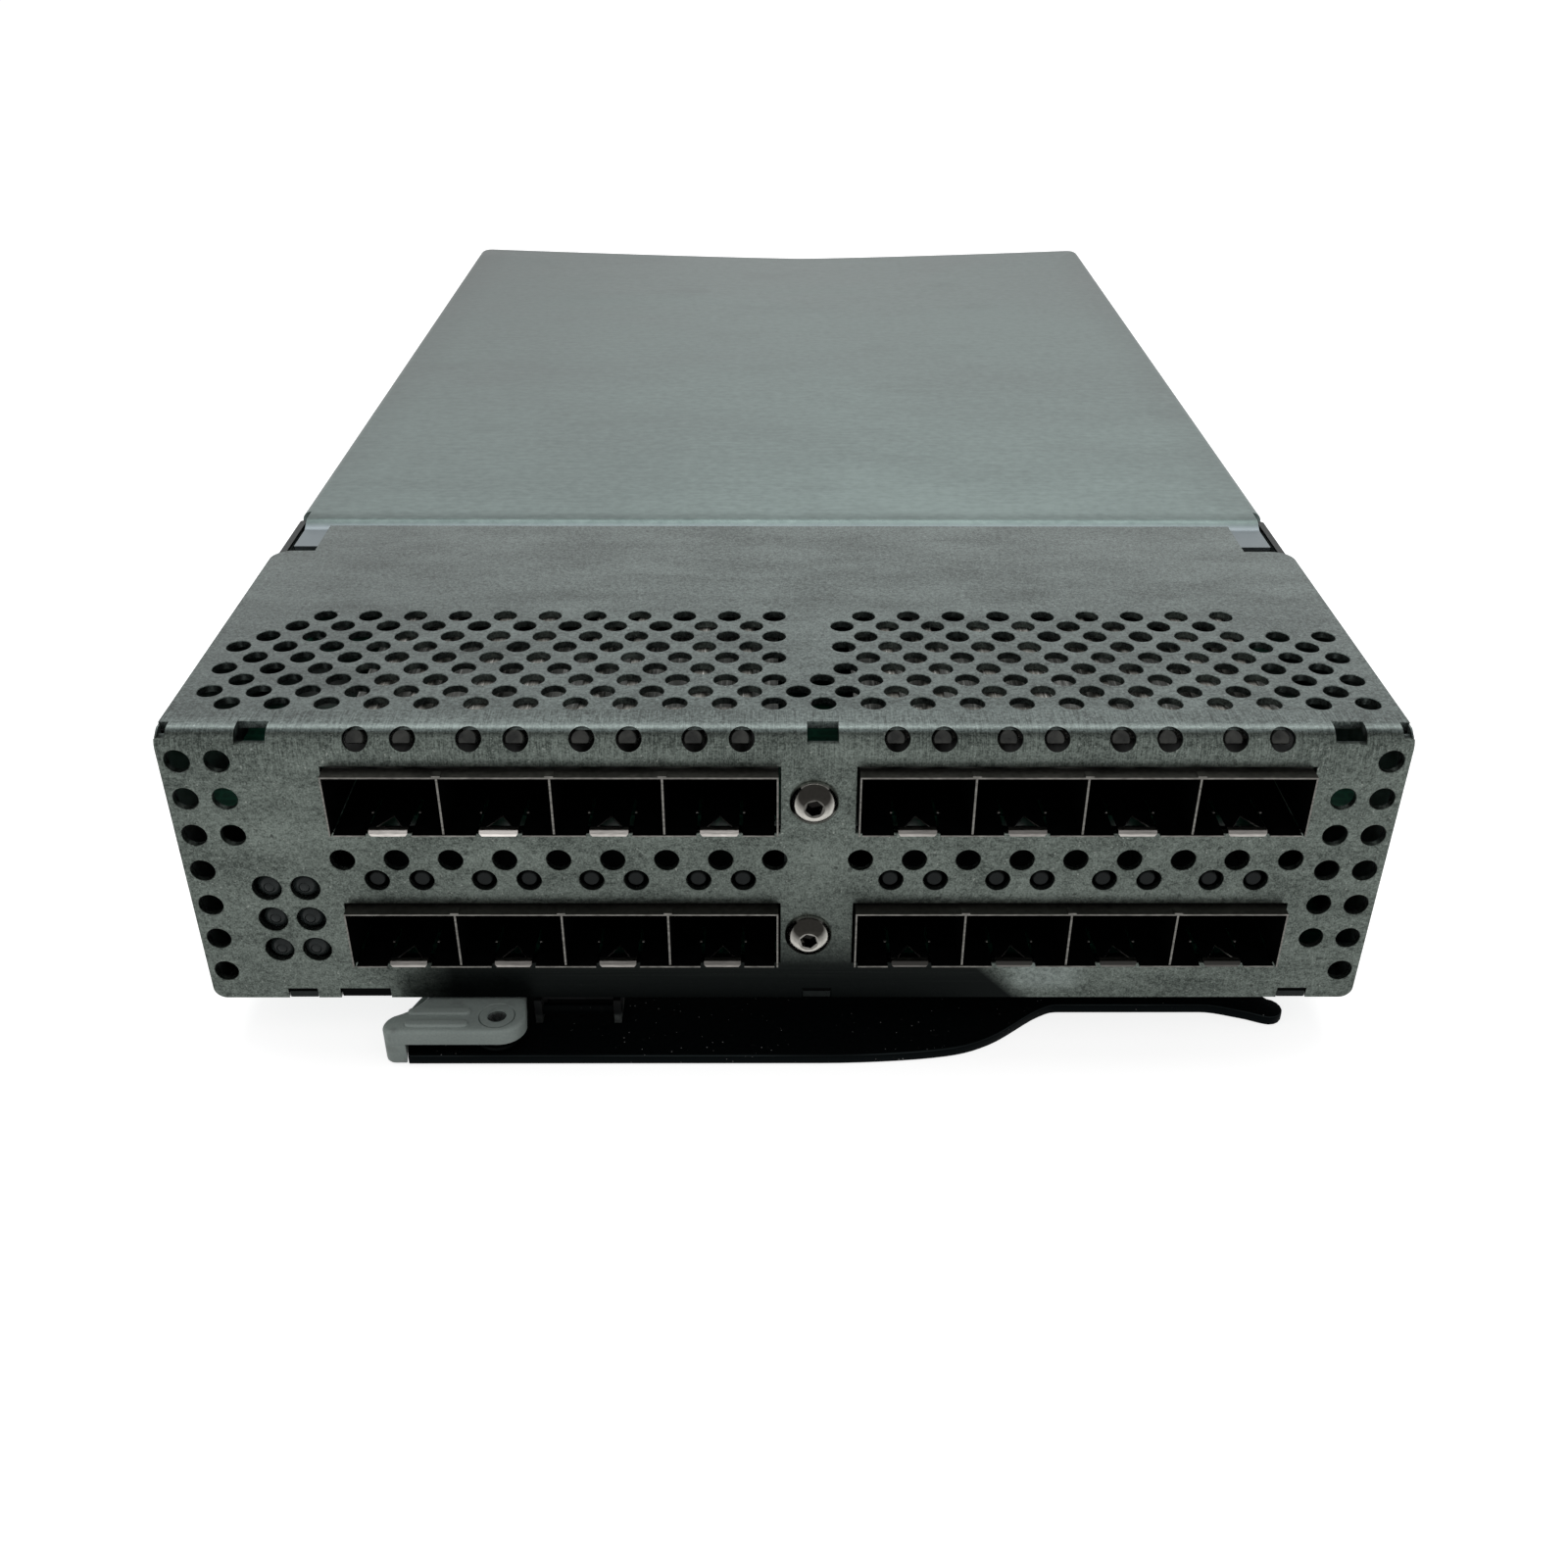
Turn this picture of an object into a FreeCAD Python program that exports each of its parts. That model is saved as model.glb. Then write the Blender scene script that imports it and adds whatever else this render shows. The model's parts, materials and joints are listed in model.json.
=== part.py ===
import FreeCAD, Part
import math
import os
from FreeCAD import Vector

# Sixteen-port switch line card: a folded sheet-metal case with four ganged port cages in two rows,
# two stacked circuit boards, backplane connectors at the rear and an ejector lever under the front.
# Working axes (mm): X across the face, Y from the face towards the rear, Z up from the underside.

# Case sheets
left_margin = 21.1              # case side to the left cages' first port
right_margin = 12.54            # right cages' last port to the other side
case_depth = 258.0
light_space = 5.35              # upper cages' roofs to the hood's top, for the light pipes
sheet = 1.0                     # thickness of every folded case sheet
seam = 0.15                     # gap between two sheets that lie on each other
fold_radius = 2.4               # outside radius of the fold from face to hood
edge_radius = 1.6               # outside radius of the long folds of pan and cover
face_corner_radius = 2.5        # lower corners of the face
hood_reach = 56.8               # hood length along its sides
tongue_reach = 66.9             # hood length along its middle tongue
tongue_margin_left = 6.2        # hood edge to tongue
tongue_margin_right = 7.2
lip_gap = 4.4                   # hood's side parts to the rear cover's lowered lip
joggle_gap = 0.6                # tongue to the rise of the lip
joggle_run = 2.6                # length of that rise
flange_gap = 6.0                # tongue to the rear cover's side flanges
flange_foot = 1.6               # height of the flanges' lower edges
dip_depth = 2.3                 # dent in the rear edge of the cover
dip_centre = 6.0
dip_start = 132.0               # the dent fades out here
rear_lip_drop = 7.0             # height of the cover's folded rear lip
pan_wall_gap = 0.1              # pan wall top to hood underside
pan_step_gap = 0.5              # walls step in ahead of the rear cover's side flanges
rear_slots = 7                  # air slots across the rear wall, in two rows
rear_slot_pitch = 15.4
rear_slot_width = 11.0
rear_slot_height = 3.0
rear_slot_drops = (8.2, 13.7)   # slot tops below the cover's top
connector_gap = 0.6             # rear wall windows round the connectors
spot_flange = 6.0               # width of the pan's flanges under the hood
spot_flange_front = 40.0
rear_wall_margin = 6.2          # pan's rear wall to the cover's top
rear_wall_side_gap = 1.2        # rear wall to the guide sockets beside it

# Port cages, four ports wide
port_pitch = 14.25
ports_per_cage = 4
cage_wall = 0.5
cage_height = 9.3
cage_depth = 46.0               # rear end of a cage, from the face plane
cage_protrusion = 1.9           # cage front edge ahead of the face
cage_window_gap = 0.25          # face window to cage, at the sides
cage_window_gap_top = 0.4       # the same above and below
left_cage_gap = 4.9             # left cages' last port to the line of the panel screws
right_cage_gap = 6.46           # and from there to the right cages' first port
base_depth = 34.0               # cage floor ends ahead of the connectors
tongue_width = 5.0              # latch tongue of a port
tongue_slit = 0.5
tongue_length = 9.0
tongue_rise = 0.8               # tongue tip above the cage floor
latch_hole_width = 3.4          # triangular latch hole
latch_hole_length = 3.0
latch_hole_back = 1.1           # cage edge to the hole
tongue_tip_corner = 0.8
connector_side_gap = 0.675      # connector to the middle of a divider, less half its sheet
connector_height = 6.2
connector_front = 35.2
connector_slot_height = 1.2
connector_slot_rise = 3.4
connector_slot_side = 1.4       # slot end to connector side
connector_slot_depth = 5.0

# Boards
board_thickness = 1.6
board_spacing = 21.5            # from the lower board to the upper one
main_board_top = 6.55
board_side_gap = 1.1            # board edge to pan wall
board_front_gap = 1.4           # centre bracket to the boards' front edges
board_rear_gap = 6.0            # main board's rear edge to the case's
upper_board_rear = 92.0
post_radius = 2.6
post_margin = 5.0               # board edge to the posts
main_post_rows = (66.0, 128.0)
rear_post_gap = 32.0            # last posts to the case's rear
upper_post_rows = (55.0, 86.0)
board_hole_radius = 1.7
board_screw_head_radius = 2.7
board_screw_head_height = 1.5
board_screw_reach = 2.5         # shank below the board
post_bore_depth = 3.0
screw_shank_radius = 1.45       # all M3 shanks
nut_clearance = 0.05            # shank to thread, radially

# Holes in the face and the hood
vent_radius = 1.65
vent_sides = 8                  # round holes of the face, as octagons to keep the sheet light
perforation_sides = 6           # the same for the hood's many holes
round_sides = 12                # small round heads and seats
perforation_pitch = 6.44
perforation_row = 3.22
perforation_front = 7.87
perforation_margin = 7.19       # hood edge to the first hole of the even rows
middle_vent_rise = 3.25         # above the lower port lights
middle_vents = 9
side_vent_margin = 2.4          # face edge to the outer column
side_vent_inset = 5.05          # outer to inner column
side_vent_z = 4.72
side_vent_pitch = 5.635
side_vents = 7
light_offset = 2.97             # port lights either side of a port's centre
upper_light_lean = 35.0         # upper light holes lean back into the fold, in degrees
lower_light_rise = 4.2          # above the lower cages' roofs
status_radius = 1.98
status_margin = 10.35           # case side to the outer column
status_pitch = 5.15
status_z = 8.45
notch_margin_left = 12.0        # case edge to a notch's centre
notch_margin_right = 8.0
notch_middle = 1.2              # beside the panel screws
notch_width = 4.0
notch_depth = 3.1               # notch reach into the hood
notch_height = 1.15             # notch depth below the hood's top
tab_width = 4.1
tab_margin_left = 12.4          # case edge to a slot's centre
tab_margin_right = 8.5
tab_middle = 1.0                # beside the panel screws
empty_slot_width = 7.0          # under the edge of the left cages
slot_height = 1.3
corner_relief = 1.6

# Light pipes
pipe_width = 2.4
pipe_gap = 0.45                 # pipe to hood
pipe_front = 2.9
pipe_rear_gap = 4.0             # cage rear wall to the pipes' rear faces
lower_pipe_front = 1.7
carrier_front = 20.0
carrier_length = 4.0
light_chip_gap = 0.9            # pipe foot above the board
status_pipe_radius = 1.5
status_pipe_front = 0.4
status_block_front = 6.0
status_block_depth = 8.0

# Panel screws and centre bracket
panel_screw_rises = (4.55, 4.45)    # above the lower and the upper board
panel_head_radius = 2.85
panel_head_height = 1.65
hex_socket = 2.0                # across flats
hex_socket_depth = 1.1
screw_clear_radius = 1.65
bracket_thickness = 1.2
bracket_width = 7.2
bracket_foot = 11.0
bracket_top = 4.5               # above the upper screw
press_nut_radius = 2.9
press_nut_height = 2.4
panel_screw_length = 7.0

# Lever under the front edge
plate_thickness = 1.6
plate_top = -4.8                # plate's upper face, below the pan
plate_front = -6.7              # handle edge ahead of the face
plate_step = 4.0                # front edge of the narrow part
pivot_x = 54.0
pivot_y = 14.0
pivot_boss_radius = 9.5
pivot_shank_radius = 2.5
pivot_head_radius = 4.0
pivot_clearance = 0.05
handle_end_x = 5.0              # the straight handle edge ends and the S-curve starts
curve_end_x = 41.0
curve_middle = ((20.7, 1.05), (28.6, 3.6), (36.5, 9.6))     # x and run back from the handle edge
tail_start_x = 60.0
tail_bend = (65.5, 2.7)
tail_corner = (69.4, 1.3)
tail_tip = (71.6, 3.4)
tail_back = (70.0, 5.4)
plate_rear = ((20.0, 16.0), (-30.0, 9.0))
plate_end_rise = 5.5            # rear corner of the plate's end behind the grip pivot
spacer_radius = 5.5
washer_thickness = 0.5
catch_left = -35.1
catch_right = -23.0
catch_sheet = 1.0
catch_front = -0.2
catch_ear_depth = 6.0
catch_base_depth = 12.0
catch_plate_gap = 0.3           # ears to lever plate
catch_pin_radius = 0.8
catch_pin_back = 1.6            # ear front to the pin
catch_pin_up = 1.3              # ear foot to the pin
catch_rivet_radius = 1.5
catch_rivet_head = 0.8
catch_rivet_back = 9.0          # ear front to the rivets
catch_rivet_half = 3.2          # half their spacing

# Grip latch on the lever's left end
grip_top = -0.5
grip_thickness = 2.3
grip_pivot_x = -39.8
grip_pivot_y = -3.3
grip_end_radius = 12.6          # plate end, about the grip pivot
grip_end_gap = 0.15
grip_left = -55.2
grip_right = -35.8
grip_corner = 3.5
grip_left_corner = 1.4
grip_rear = 8.8
grip_rear_x = -49.4
grip_edge_radius = 0.5
grip_shoulder = ((-50.0, 1.3), (-51.5, -1.3), (-53.6, -2.9), (-54.8, -3.9))     # end to side, in two arcs
hook_notch = ((-36.6, 2.4), (-38.2, 5.6))
hook_tip = (-36.4, 6.6)
hook_slope = 1.4                # tip to the hook's rear corner
grip_leg_reach = 8.0            # pivot to the leg's inner edge
grip_leg_rear = 3.0             # pivot to the leg's rear edge
bush_flange_radius = 2.4
bush_barrel_radius = 1.95
bush_flange_height = 0.8
bush_clearance = 0.05
grip_screw_radius = 1.35
grip_socket = 1.5               # across flats
grip_hub_radius = 2.65
ridge_width = 1.5
ridge_height = 0.35
ridge_left = -52.2
ridge_right = -43.5
ridge_rows = (-2.6, -5.1)
spring_radius = 2.98
spring_wire = 0.45
spring_leg = 5.0

# Inner parts on the boards
chip_gap = 108.0                # switch chip's centre to the case's rear
switch_chip_side = 37.5
switch_chip_height = 2.6
heatsink_side = 62.0
heatsink_base = 3.0
heatsink_gap = 4.7              # fins to the cover
heatsink_fins = 12
fin_thickness = 1.2
processor_x = -48.0
processor_gap = 80.0            # these gaps too run to the case's rear
processor_side = 27.0
processor_height = 2.2
memory_start = -55.0
memory_pitch = 14.0
memory_count = 4
memory_gap = 50.0
memory_size = (10.5, 13.0, 1.2)
power_module_x = 52.0
power_module_gaps = (73.0, 44.0)
power_module_size = (33.0, 23.0, 9.5)
capacitor_start = 27.0
capacitor_pitch = 10.0
capacitor_count = 5
capacitor_gap = 152.0
capacitor_across = 8.0
capacitor_height = 10.5
link_width = 44.0
link_depth = 8.0
link_y = 82.0
plug_height = 8.0
link_blade_margin = 3.0
link_blade = 3.0                # slot width
link_blade_depth = 4.0
link_blade_gap = 0.4            # blade to slot
signal_side_gap = 6.5           # to the guide socket
signal_middle_gap = 2.0         # to the power connector
signal_block_height = 15.0
signal_block_depth = 19.0
signal_wafers = 9
wafer_slot = 1.6
power_block_width = 11.0
power_slot_width = 3.2
power_slot_height = 5.0
power_slot_rises = (1.8, 8.2)
mating_slot_depth = 7.0
wafer_slot_margin = 1.5
guide_margin = 14.0             # case side to the guide bore
guide_width = 11.0
guide_height = 14.0
guide_depth = 16.0
guide_bore_radius = 3.0
guide_bore_depth = 12.0
guide_lead = 1.5                # lead-in, wide and deep
connector_proud = 0.6           # rear connectors ahead of the pan's rear wall
cover_screw_front = 105.0
cover_screw_gap = 43.0          # rear screws to the case's rear
cover_screw_z = 27.0
cover_screw_head_radius = 2.8
cover_screw_head_height = 0.5
cover_screw_length = 4.0

# Derived places
cage_span = port_pitch * ports_per_cage
case_width = left_margin + cage_span + left_cage_gap + right_cage_gap + cage_span + right_margin
half_width = case_width / 2
left_cage_start = left_margin - half_width
panel_screw_x = left_cage_start + cage_span + left_cage_gap
right_cage_start = panel_screw_x + right_cage_gap
connector_width = port_pitch - cage_wall - 2 * connector_side_gap
middle_vent_pitch = port_pitch / 2
upper_board_top = main_board_top + board_spacing
lower_cage_z = main_board_top
upper_cage_z = upper_board_top
case_height = upper_cage_z + cage_height + light_space
hood_under = case_height - sheet
panel_screw_z = (main_board_top + panel_screw_rises[0], upper_board_top + panel_screw_rises[1])
lip_front = hood_reach + lip_gap
joggle_start = tongue_reach + joggle_gap
flange_start = tongue_reach + flange_gap
board_front = sheet + bracket_thickness + board_front_gap
pipe_rear = cage_depth + pipe_rear_gap
lower_light_z = lower_cage_z + cage_height + lower_light_rise
middle_vent_z = lower_light_z + middle_vent_rise
side_vent_x = half_width - side_vent_margin
status_x = status_margin - half_width
guide_x = half_width - guide_margin
signal_inner = power_block_width / 2 + signal_middle_gap
signal_block_width = guide_x - guide_width / 2 - signal_side_gap - signal_inner
signal_block_x = signal_inner + signal_block_width / 2
cover_screw_y = (cover_screw_front, case_depth - cover_screw_gap)
main_board_rear = case_depth - board_rear_gap
chip_y = case_depth - chip_gap
pan_front = sheet + seam
pan_rear_outer = case_depth - sheet - seam
pan_inset = half_width - sheet - seam          # outer face of the pan's walls under the cover
plate_bottom = plate_top - plate_thickness
grip_bottom = grip_top - grip_thickness
row_shift = Vector(0, -(case_depth + plate_front) / 2, -plate_bottom)
up = Vector(0, 0, 1)
back = Vector(0, 1, 0)


def save(name, shape):
    placed = shape.copy()
    placed.translate(row_shift)
    placed.exportStep("parts/" + name + ".step")


def box(x0, x1, y0, y1, z0, z1):
    return Part.makeBox(x1 - x0, y1 - y0, z1 - z0, Vector(x0, y0, z0))


def rod_y(x, z, radius, y0, y1):
    return Part.makeCylinder(radius, y1 - y0, Vector(x, y0, z), Vector(0, 1, 0))


def rod_z(x, y, radius, z0, z1):
    return Part.makeCylinder(radius, z1 - z0, Vector(x, y, z0))


def prism(centre, across, normal, length, sides=vent_sides):
    """Regular prism with the stated distance across its flats, along normal."""
    corner = across / 2 / math.cos(math.pi / sides)
    side_axis = Vector(0, 0, 1) if abs(normal.z) < 0.9 else Vector(0, 1, 0)
    u = normal.cross(side_axis).normalize()
    v = normal.cross(u).normalize()
    points = []
    for i in range(sides + 1):
        turn = (i + 0.5) * 2 * math.pi / sides
        points.append(centre + u * (corner * math.cos(turn)) + v * (corner * math.sin(turn)))
    return Part.Face(Part.makePolygon(points)).extrude(normal * length)


def plan(points, z0, z1):
    """Prism on a plan outline of straight runs, from z0 to z1."""
    corners = [Vector(x, y, z0) for x, y in points]
    return Part.Face(Part.makePolygon(corners + corners[:1])).extrude(Vector(0, 0, z1 - z0))


def arc(a, b, c):
    return Part.Arc(a, b, c).toShape()


def joined(solids):
    whole = solids[0].fuse(solids[1:])
    return whole.removeSplitter()


def port_centres(cage_start):
    return [cage_start + port_pitch * (i + 0.5) for i in range(ports_per_cage)]


def all_port_centres():
    return port_centres(left_cage_start) + port_centres(right_cage_start)


def notch_centres():
    return [notch_margin_left - half_width, panel_screw_x + notch_middle, half_width - notch_margin_right]


def tab_centres():
    return [tab_margin_left - half_width, panel_screw_x + tab_middle, half_width - tab_margin_right]


def perforation_places():
    """Centres of the hood's staggered holes, in nine rows; a plain strip divides the rear rows."""
    places = []
    for row in range(9):
        first = perforation_margin - half_width - (row % 2) * perforation_pitch / 2
        if row < 3:
            columns = range(0, 24)
        elif row < 7:
            columns = [k for k in range(0, 24) if k != 12]
        else:
            columns = [k for k in range(1, 22) if k != 12]
        for k in columns:
            places.append((first + perforation_pitch * k, perforation_front + perforation_row * row))
    return places


def face_vent_places():
    places = []
    for start in (left_cage_start, right_cage_start):
        places += [(start + middle_vent_pitch * k, middle_vent_z) for k in range(middle_vents)]
    for k in range(side_vents):
        z = side_vent_z + side_vent_pitch * k
        places += [(-side_vent_x, z), (side_vent_x, z)]
        if k >= 4:
            places.append((side_vent_inset - side_vent_x, z))
        if 1 <= k <= 5:
            places.append((side_vent_x - side_vent_inset, z))
    return places


def light_places():
    return [x + side * light_offset for x in all_port_centres() for side in (-1, 1)]


def status_places():
    return [(status_x + status_pitch * i, status_z + status_pitch * k) for i in range(2) for k in range(3)]


def window(cage_start, cage_z):
    """Face window round a cage."""
    grow = cage_wall + cage_window_gap
    return box(cage_start - grow, cage_start + cage_span + grow, -1, sheet + 1,
               cage_z - cage_window_gap_top, cage_z + cage_height + cage_window_gap_top)


def front_shell():
    inner = fold_radius - sheet
    bend_y, bend_z = fold_radius, case_height - fold_radius
    turn = math.sqrt(0.5)

    def at(y, z):
        return Vector(-half_width, y, z)

    outline = Part.Wire([
        Part.makeLine(at(0, 0), at(0, bend_z)),
        arc(at(0, bend_z), at(bend_y - fold_radius * turn, bend_z + fold_radius * turn),
            at(bend_y, case_height)),
        Part.makeLine(at(bend_y, case_height), at(tongue_reach, case_height)),
        Part.makeLine(at(tongue_reach, case_height), at(tongue_reach, hood_under)),
        Part.makeLine(at(tongue_reach, hood_under), at(bend_y, hood_under)),
        arc(at(bend_y, hood_under), at(bend_y - inner * turn, bend_z + inner * turn), at(sheet, bend_z)),
        Part.makeLine(at(sheet, bend_z), at(sheet, 0)),
        Part.makeLine(at(sheet, 0), at(0, 0)),
    ])
    shell = Part.Face(outline).extrude(Vector(case_width, 0, 0))
    corners = [e for e in shell.Edges if abs(e.BoundBox.YLength - sheet) < 1e-6
               and e.BoundBox.ZMax < 1e-6 and e.BoundBox.XLength < 1e-6]
    shell = shell.makeFillet(face_corner_radius, corners)

    cuts = [box(-half_width - 1, tongue_margin_left - half_width, hood_reach, tongue_reach + 1,
                hood_under - 1, case_height + 1),
            box(half_width - tongue_margin_right, half_width + 1, hood_reach, tongue_reach + 1,
                hood_under - 1, case_height + 1)]
    for side in (-1, 1):
        x0, x1 = sorted((side * (half_width + 1), side * (half_width - corner_relief / 2)))
        cuts.append(box(x0, x1, -1, fold_radius + 0.6, case_height - corner_relief, case_height + 1))
    for cage_start in (left_cage_start, right_cage_start):
        cuts += [window(cage_start, lower_cage_z), window(cage_start, upper_cage_z)]
    for x in notch_centres():
        cuts.append(box(x - notch_width / 2, x + notch_width / 2, -1, notch_depth,
                        case_height - notch_height, case_height + 1))
    for x, width in [(x, tab_width) for x in tab_centres()] + [(left_cage_start, empty_slot_width)]:
        cuts.append(box(x - width / 2, x + width / 2, -1, sheet + 1, -1, slot_height))
    for x, z in face_vent_places():
        cuts.append(prism(Vector(x, -0.5, z), 2 * vent_radius, back, sheet + 1))
    for x in light_places():
        cuts.append(prism(Vector(x, -0.5, lower_light_z), 2 * vent_radius, back, sheet + 1))
        lean = math.radians(upper_light_lean)
        inward = Vector(0, math.cos(lean), -math.sin(lean))
        on_fold = Vector(x, bend_y, bend_z) - inward * fold_radius
        cuts.append(prism(on_fold - inward * 1.5, 2 * vent_radius, inward, 4.0, perforation_sides))
    for x, z in status_places():
        cuts.append(prism(Vector(x, -0.5, z), 2 * status_radius, back, sheet + 1))
    for z in panel_screw_z:
        cuts.append(rod_y(panel_screw_x, z, screw_clear_radius, -0.5, sheet + 0.5))
    for x, y in perforation_places():
        cuts.append(prism(Vector(x, y, hood_under - 0.5), 2 * vent_radius, up, sheet + 1, perforation_sides))
    return shell.cut(cuts)


def dip(x, share):
    """Drop of the dented cover at x, where share runs from 0 at its front to 1 at its rear edge."""
    reach = half_width - edge_radius
    run = abs(x - dip_centre) / (reach - dip_centre if x > dip_centre else reach + dip_centre)
    return dip_depth * share * max(0.0, 1 - run ** 1.25)


def cover_curve(y, z, share):
    reach = half_width - edge_radius
    stations = [-reach, -reach * 0.55, dip_centre - 14, dip_centre, dip_centre + 14, reach * 0.6, reach]
    points = [Vector(x, y, z - dip(x, share)) for x in stations]
    curve = Part.BSplineCurve()
    curve.interpolate(points)
    return curve.toShape()


def cover_section(y):
    """Closed section of the cover at y: dented top and two side flanges."""
    share = max(0.0, (y - dip_start) / (case_depth - dip_start)) ** 2
    reach = half_width - edge_radius
    inner_x = half_width - sheet
    bend_z = case_height - edge_radius
    small = edge_radius - sheet
    turn = math.sqrt(0.5)

    def at(x, z):
        return Vector(x, y, z)

    outer_mid = edge_radius * (1 - turn)
    inner_mid = reach + small * turn
    top = cover_curve(y, case_height, share)
    under = cover_curve(y, hood_under, share)
    edges = [
        Part.makeLine(at(-half_width, flange_foot), at(-half_width, bend_z)),
        arc(at(-half_width, bend_z), at(-half_width + outer_mid, case_height - outer_mid),
            at(-reach, case_height)),
        top,
        arc(at(reach, case_height), at(half_width - outer_mid, case_height - outer_mid),
            at(half_width, bend_z)),
        Part.makeLine(at(half_width, bend_z), at(half_width, flange_foot)),
        Part.makeLine(at(half_width, flange_foot), at(inner_x, flange_foot)),
        Part.makeLine(at(inner_x, flange_foot), at(inner_x, bend_z)),
        arc(at(inner_x, bend_z), at(inner_mid, bend_z + small * turn), at(reach, hood_under)),
        under,
        arc(at(-reach, hood_under), at(-inner_mid, bend_z + small * turn), at(-inner_x, bend_z)),
        Part.makeLine(at(-inner_x, bend_z), at(-inner_x, flange_foot)),
        Part.makeLine(at(-inner_x, flange_foot), at(-half_width, flange_foot)),
    ]
    return Part.Wire(edges)


def rear_cover():
    stations = [dip_start + (case_depth - dip_start) * k / 3 for k in range(4)]
    dented = Part.makeLoft([cover_section(y) for y in stations], True, True)
    straight = Part.Face(cover_section(flange_start)).extrude(Vector(0, dip_start - flange_start, 0))
    low = sheet + seam
    lip_top = case_height - low
    lip_half = pan_inset - seam
    run = [(lip_front, lip_top - sheet), (lip_front, lip_top), (joggle_start, lip_top),
           (joggle_start + joggle_run, case_height), (flange_start, case_height),
           (flange_start, hood_under), (joggle_start + joggle_run, hood_under),
           (joggle_start, lip_top - sheet)]
    wire = Part.makePolygon([Vector(-lip_half, y, z) for y, z in run + run[:1]])
    lip = Part.Face(wire).extrude(Vector(2 * lip_half, 0, 0))
    reach = half_width - edge_radius
    foot = case_height - rear_lip_drop
    sections = []
    for y in (case_depth - sheet, case_depth):
        share = ((y - dip_start) / (case_depth - dip_start)) ** 2
        top = cover_curve(y, hood_under + sheet / 2, share)
        sections.append(Part.Wire([
            Part.makeLine(Vector(-reach, y, foot), Vector(-reach, y, hood_under + sheet / 2)), top,
            Part.makeLine(Vector(reach, y, hood_under + sheet / 2), Vector(reach, y, foot)),
            Part.makeLine(Vector(reach, y, foot), Vector(-reach, y, foot))]))
    rear_lip = Part.makeLoft(sections, True, True)
    cover = straight.fuse([dented, lip, rear_lip])
    cuts = []
    for side in (-1, 1):
        for y in cover_screw_y:
            cuts += side_screw_seat(side, y)
    return cover.cut(cuts)


def side_screw_seat(side, y):
    """Seat for a low screw head and its clearance hole, in a side flange."""
    inward = Vector(-side, 0, 0)
    outside = Vector(side * half_width, y, cover_screw_z) - inward
    seat = prism(outside, 2 * (cover_screw_head_radius + seam), inward, 1 + cover_screw_head_height,
                 round_sides)
    return [seat, prism(outside, 2 * screw_clear_radius, inward, sheet + 2)]


def cover_screws():
    screws = []
    for side in (-1, 1):
        for y in cover_screw_y:
            inward = Vector(-side, 0, 0)
            start = Vector(side * half_width, y, cover_screw_z)
            head = prism(start, 2 * cover_screw_head_radius, inward, cover_screw_head_height, round_sides)
            shank = prism(start + inward * 0.2, 2 * screw_shank_radius, inward, cover_screw_length)
            screws.append(head.fuse(shank))
    return Part.makeCompound(screws)


def bottom_pan():
    wall_top = hood_under - pan_wall_gap
    low_top = case_height - 2 * (sheet + seam) - pan_wall_gap
    step = flange_start - pan_step_gap
    floor = plan([(-half_width, pan_front), (half_width, pan_front), (half_width, step - 1),
                  (pan_inset, step),
                  (pan_inset, pan_rear_outer), (-pan_inset, pan_rear_outer), (-pan_inset, step),
                  (-half_width, step - 1)], 0, sheet)
    pieces = [floor]
    for side in (-1, 1):
        outline = [(half_width, pan_front), (half_width, step - 1), (pan_inset, step),
                   (pan_inset, pan_rear_outer),
                   (pan_inset - sheet, pan_rear_outer), (pan_inset - sheet, step - 0.4),
                   (half_width - sheet, step - 1.4), (half_width - sheet, pan_front)]
        pieces.append(plan([(side * x, y) for x, y in outline], 0, wall_top))
        x0, x1 = sorted((side * (half_width - sheet / 2), side * (half_width - spot_flange)))
        pieces.append(box(x0, x1, spot_flange_front, hood_reach - 2, wall_top - sheet, wall_top))
    wall_half = guide_x - guide_width / 2 - rear_wall_side_gap
    pieces.append(box(-wall_half, wall_half, pan_rear_outer - sheet, pan_rear_outer,
                      0, case_height - rear_wall_margin))
    half = tab_width / 2 - seam
    for x in tab_centres():
        pieces.append(box(x - half, x + half, seam, pan_front + 1, 0, sheet))
    pan = joined(pieces)
    lip_room = half_width - sheet
    pan = pan.cut([box(-lip_room, lip_room, hood_reach, case_depth, low_top, case_height),
                   box(-case_width, case_width, 0, fold_radius + seam, case_height - fold_radius,
                       case_height)])
    long_edges = [e for e in pan.Edges if e.BoundBox.YLength > 40 and e.BoundBox.ZMax < 1e-6
                  and abs(e.BoundBox.XMin) > pan_inset - 0.01 and e.BoundBox.XLength < 1e-6]
    pan = pan.makeFillet(sheet * 0.9, long_edges)

    cuts = []
    rear_y0, rear_y1 = pan_rear_outer - sheet - 1, pan_rear_outer + 1
    gap = connector_gap
    for side in (-1, 1):
        x = side * signal_block_x
        cuts.append(box(x - signal_block_width / 2 - gap, x + signal_block_width / 2 + gap, rear_y0, rear_y1,
                        main_board_top - gap, main_board_top + signal_block_height + gap))
    cuts.append(box(-power_block_width / 2 - gap, power_block_width / 2 + gap, rear_y0, rear_y1,
                    main_board_top - gap, main_board_top + signal_block_height + gap))
    for k in range(rear_slots):
        x = (k - (rear_slots - 1) / 2) * rear_slot_pitch
        for drop in rear_slot_drops:
            top = case_height - drop
            cuts.append(box(x - rear_slot_width / 2, x + rear_slot_width / 2, rear_y0, rear_y1,
                            top - rear_slot_height, top))
    for side in (-1, 1):
        for y in cover_screw_y:
            start = Vector(side * (half_width + 1), y, cover_screw_z)
            cuts.append(prism(start, 2 * (screw_shank_radius + nut_clearance), Vector(-side, 0, 0), 6))
    return pan.cut(cuts)


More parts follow.
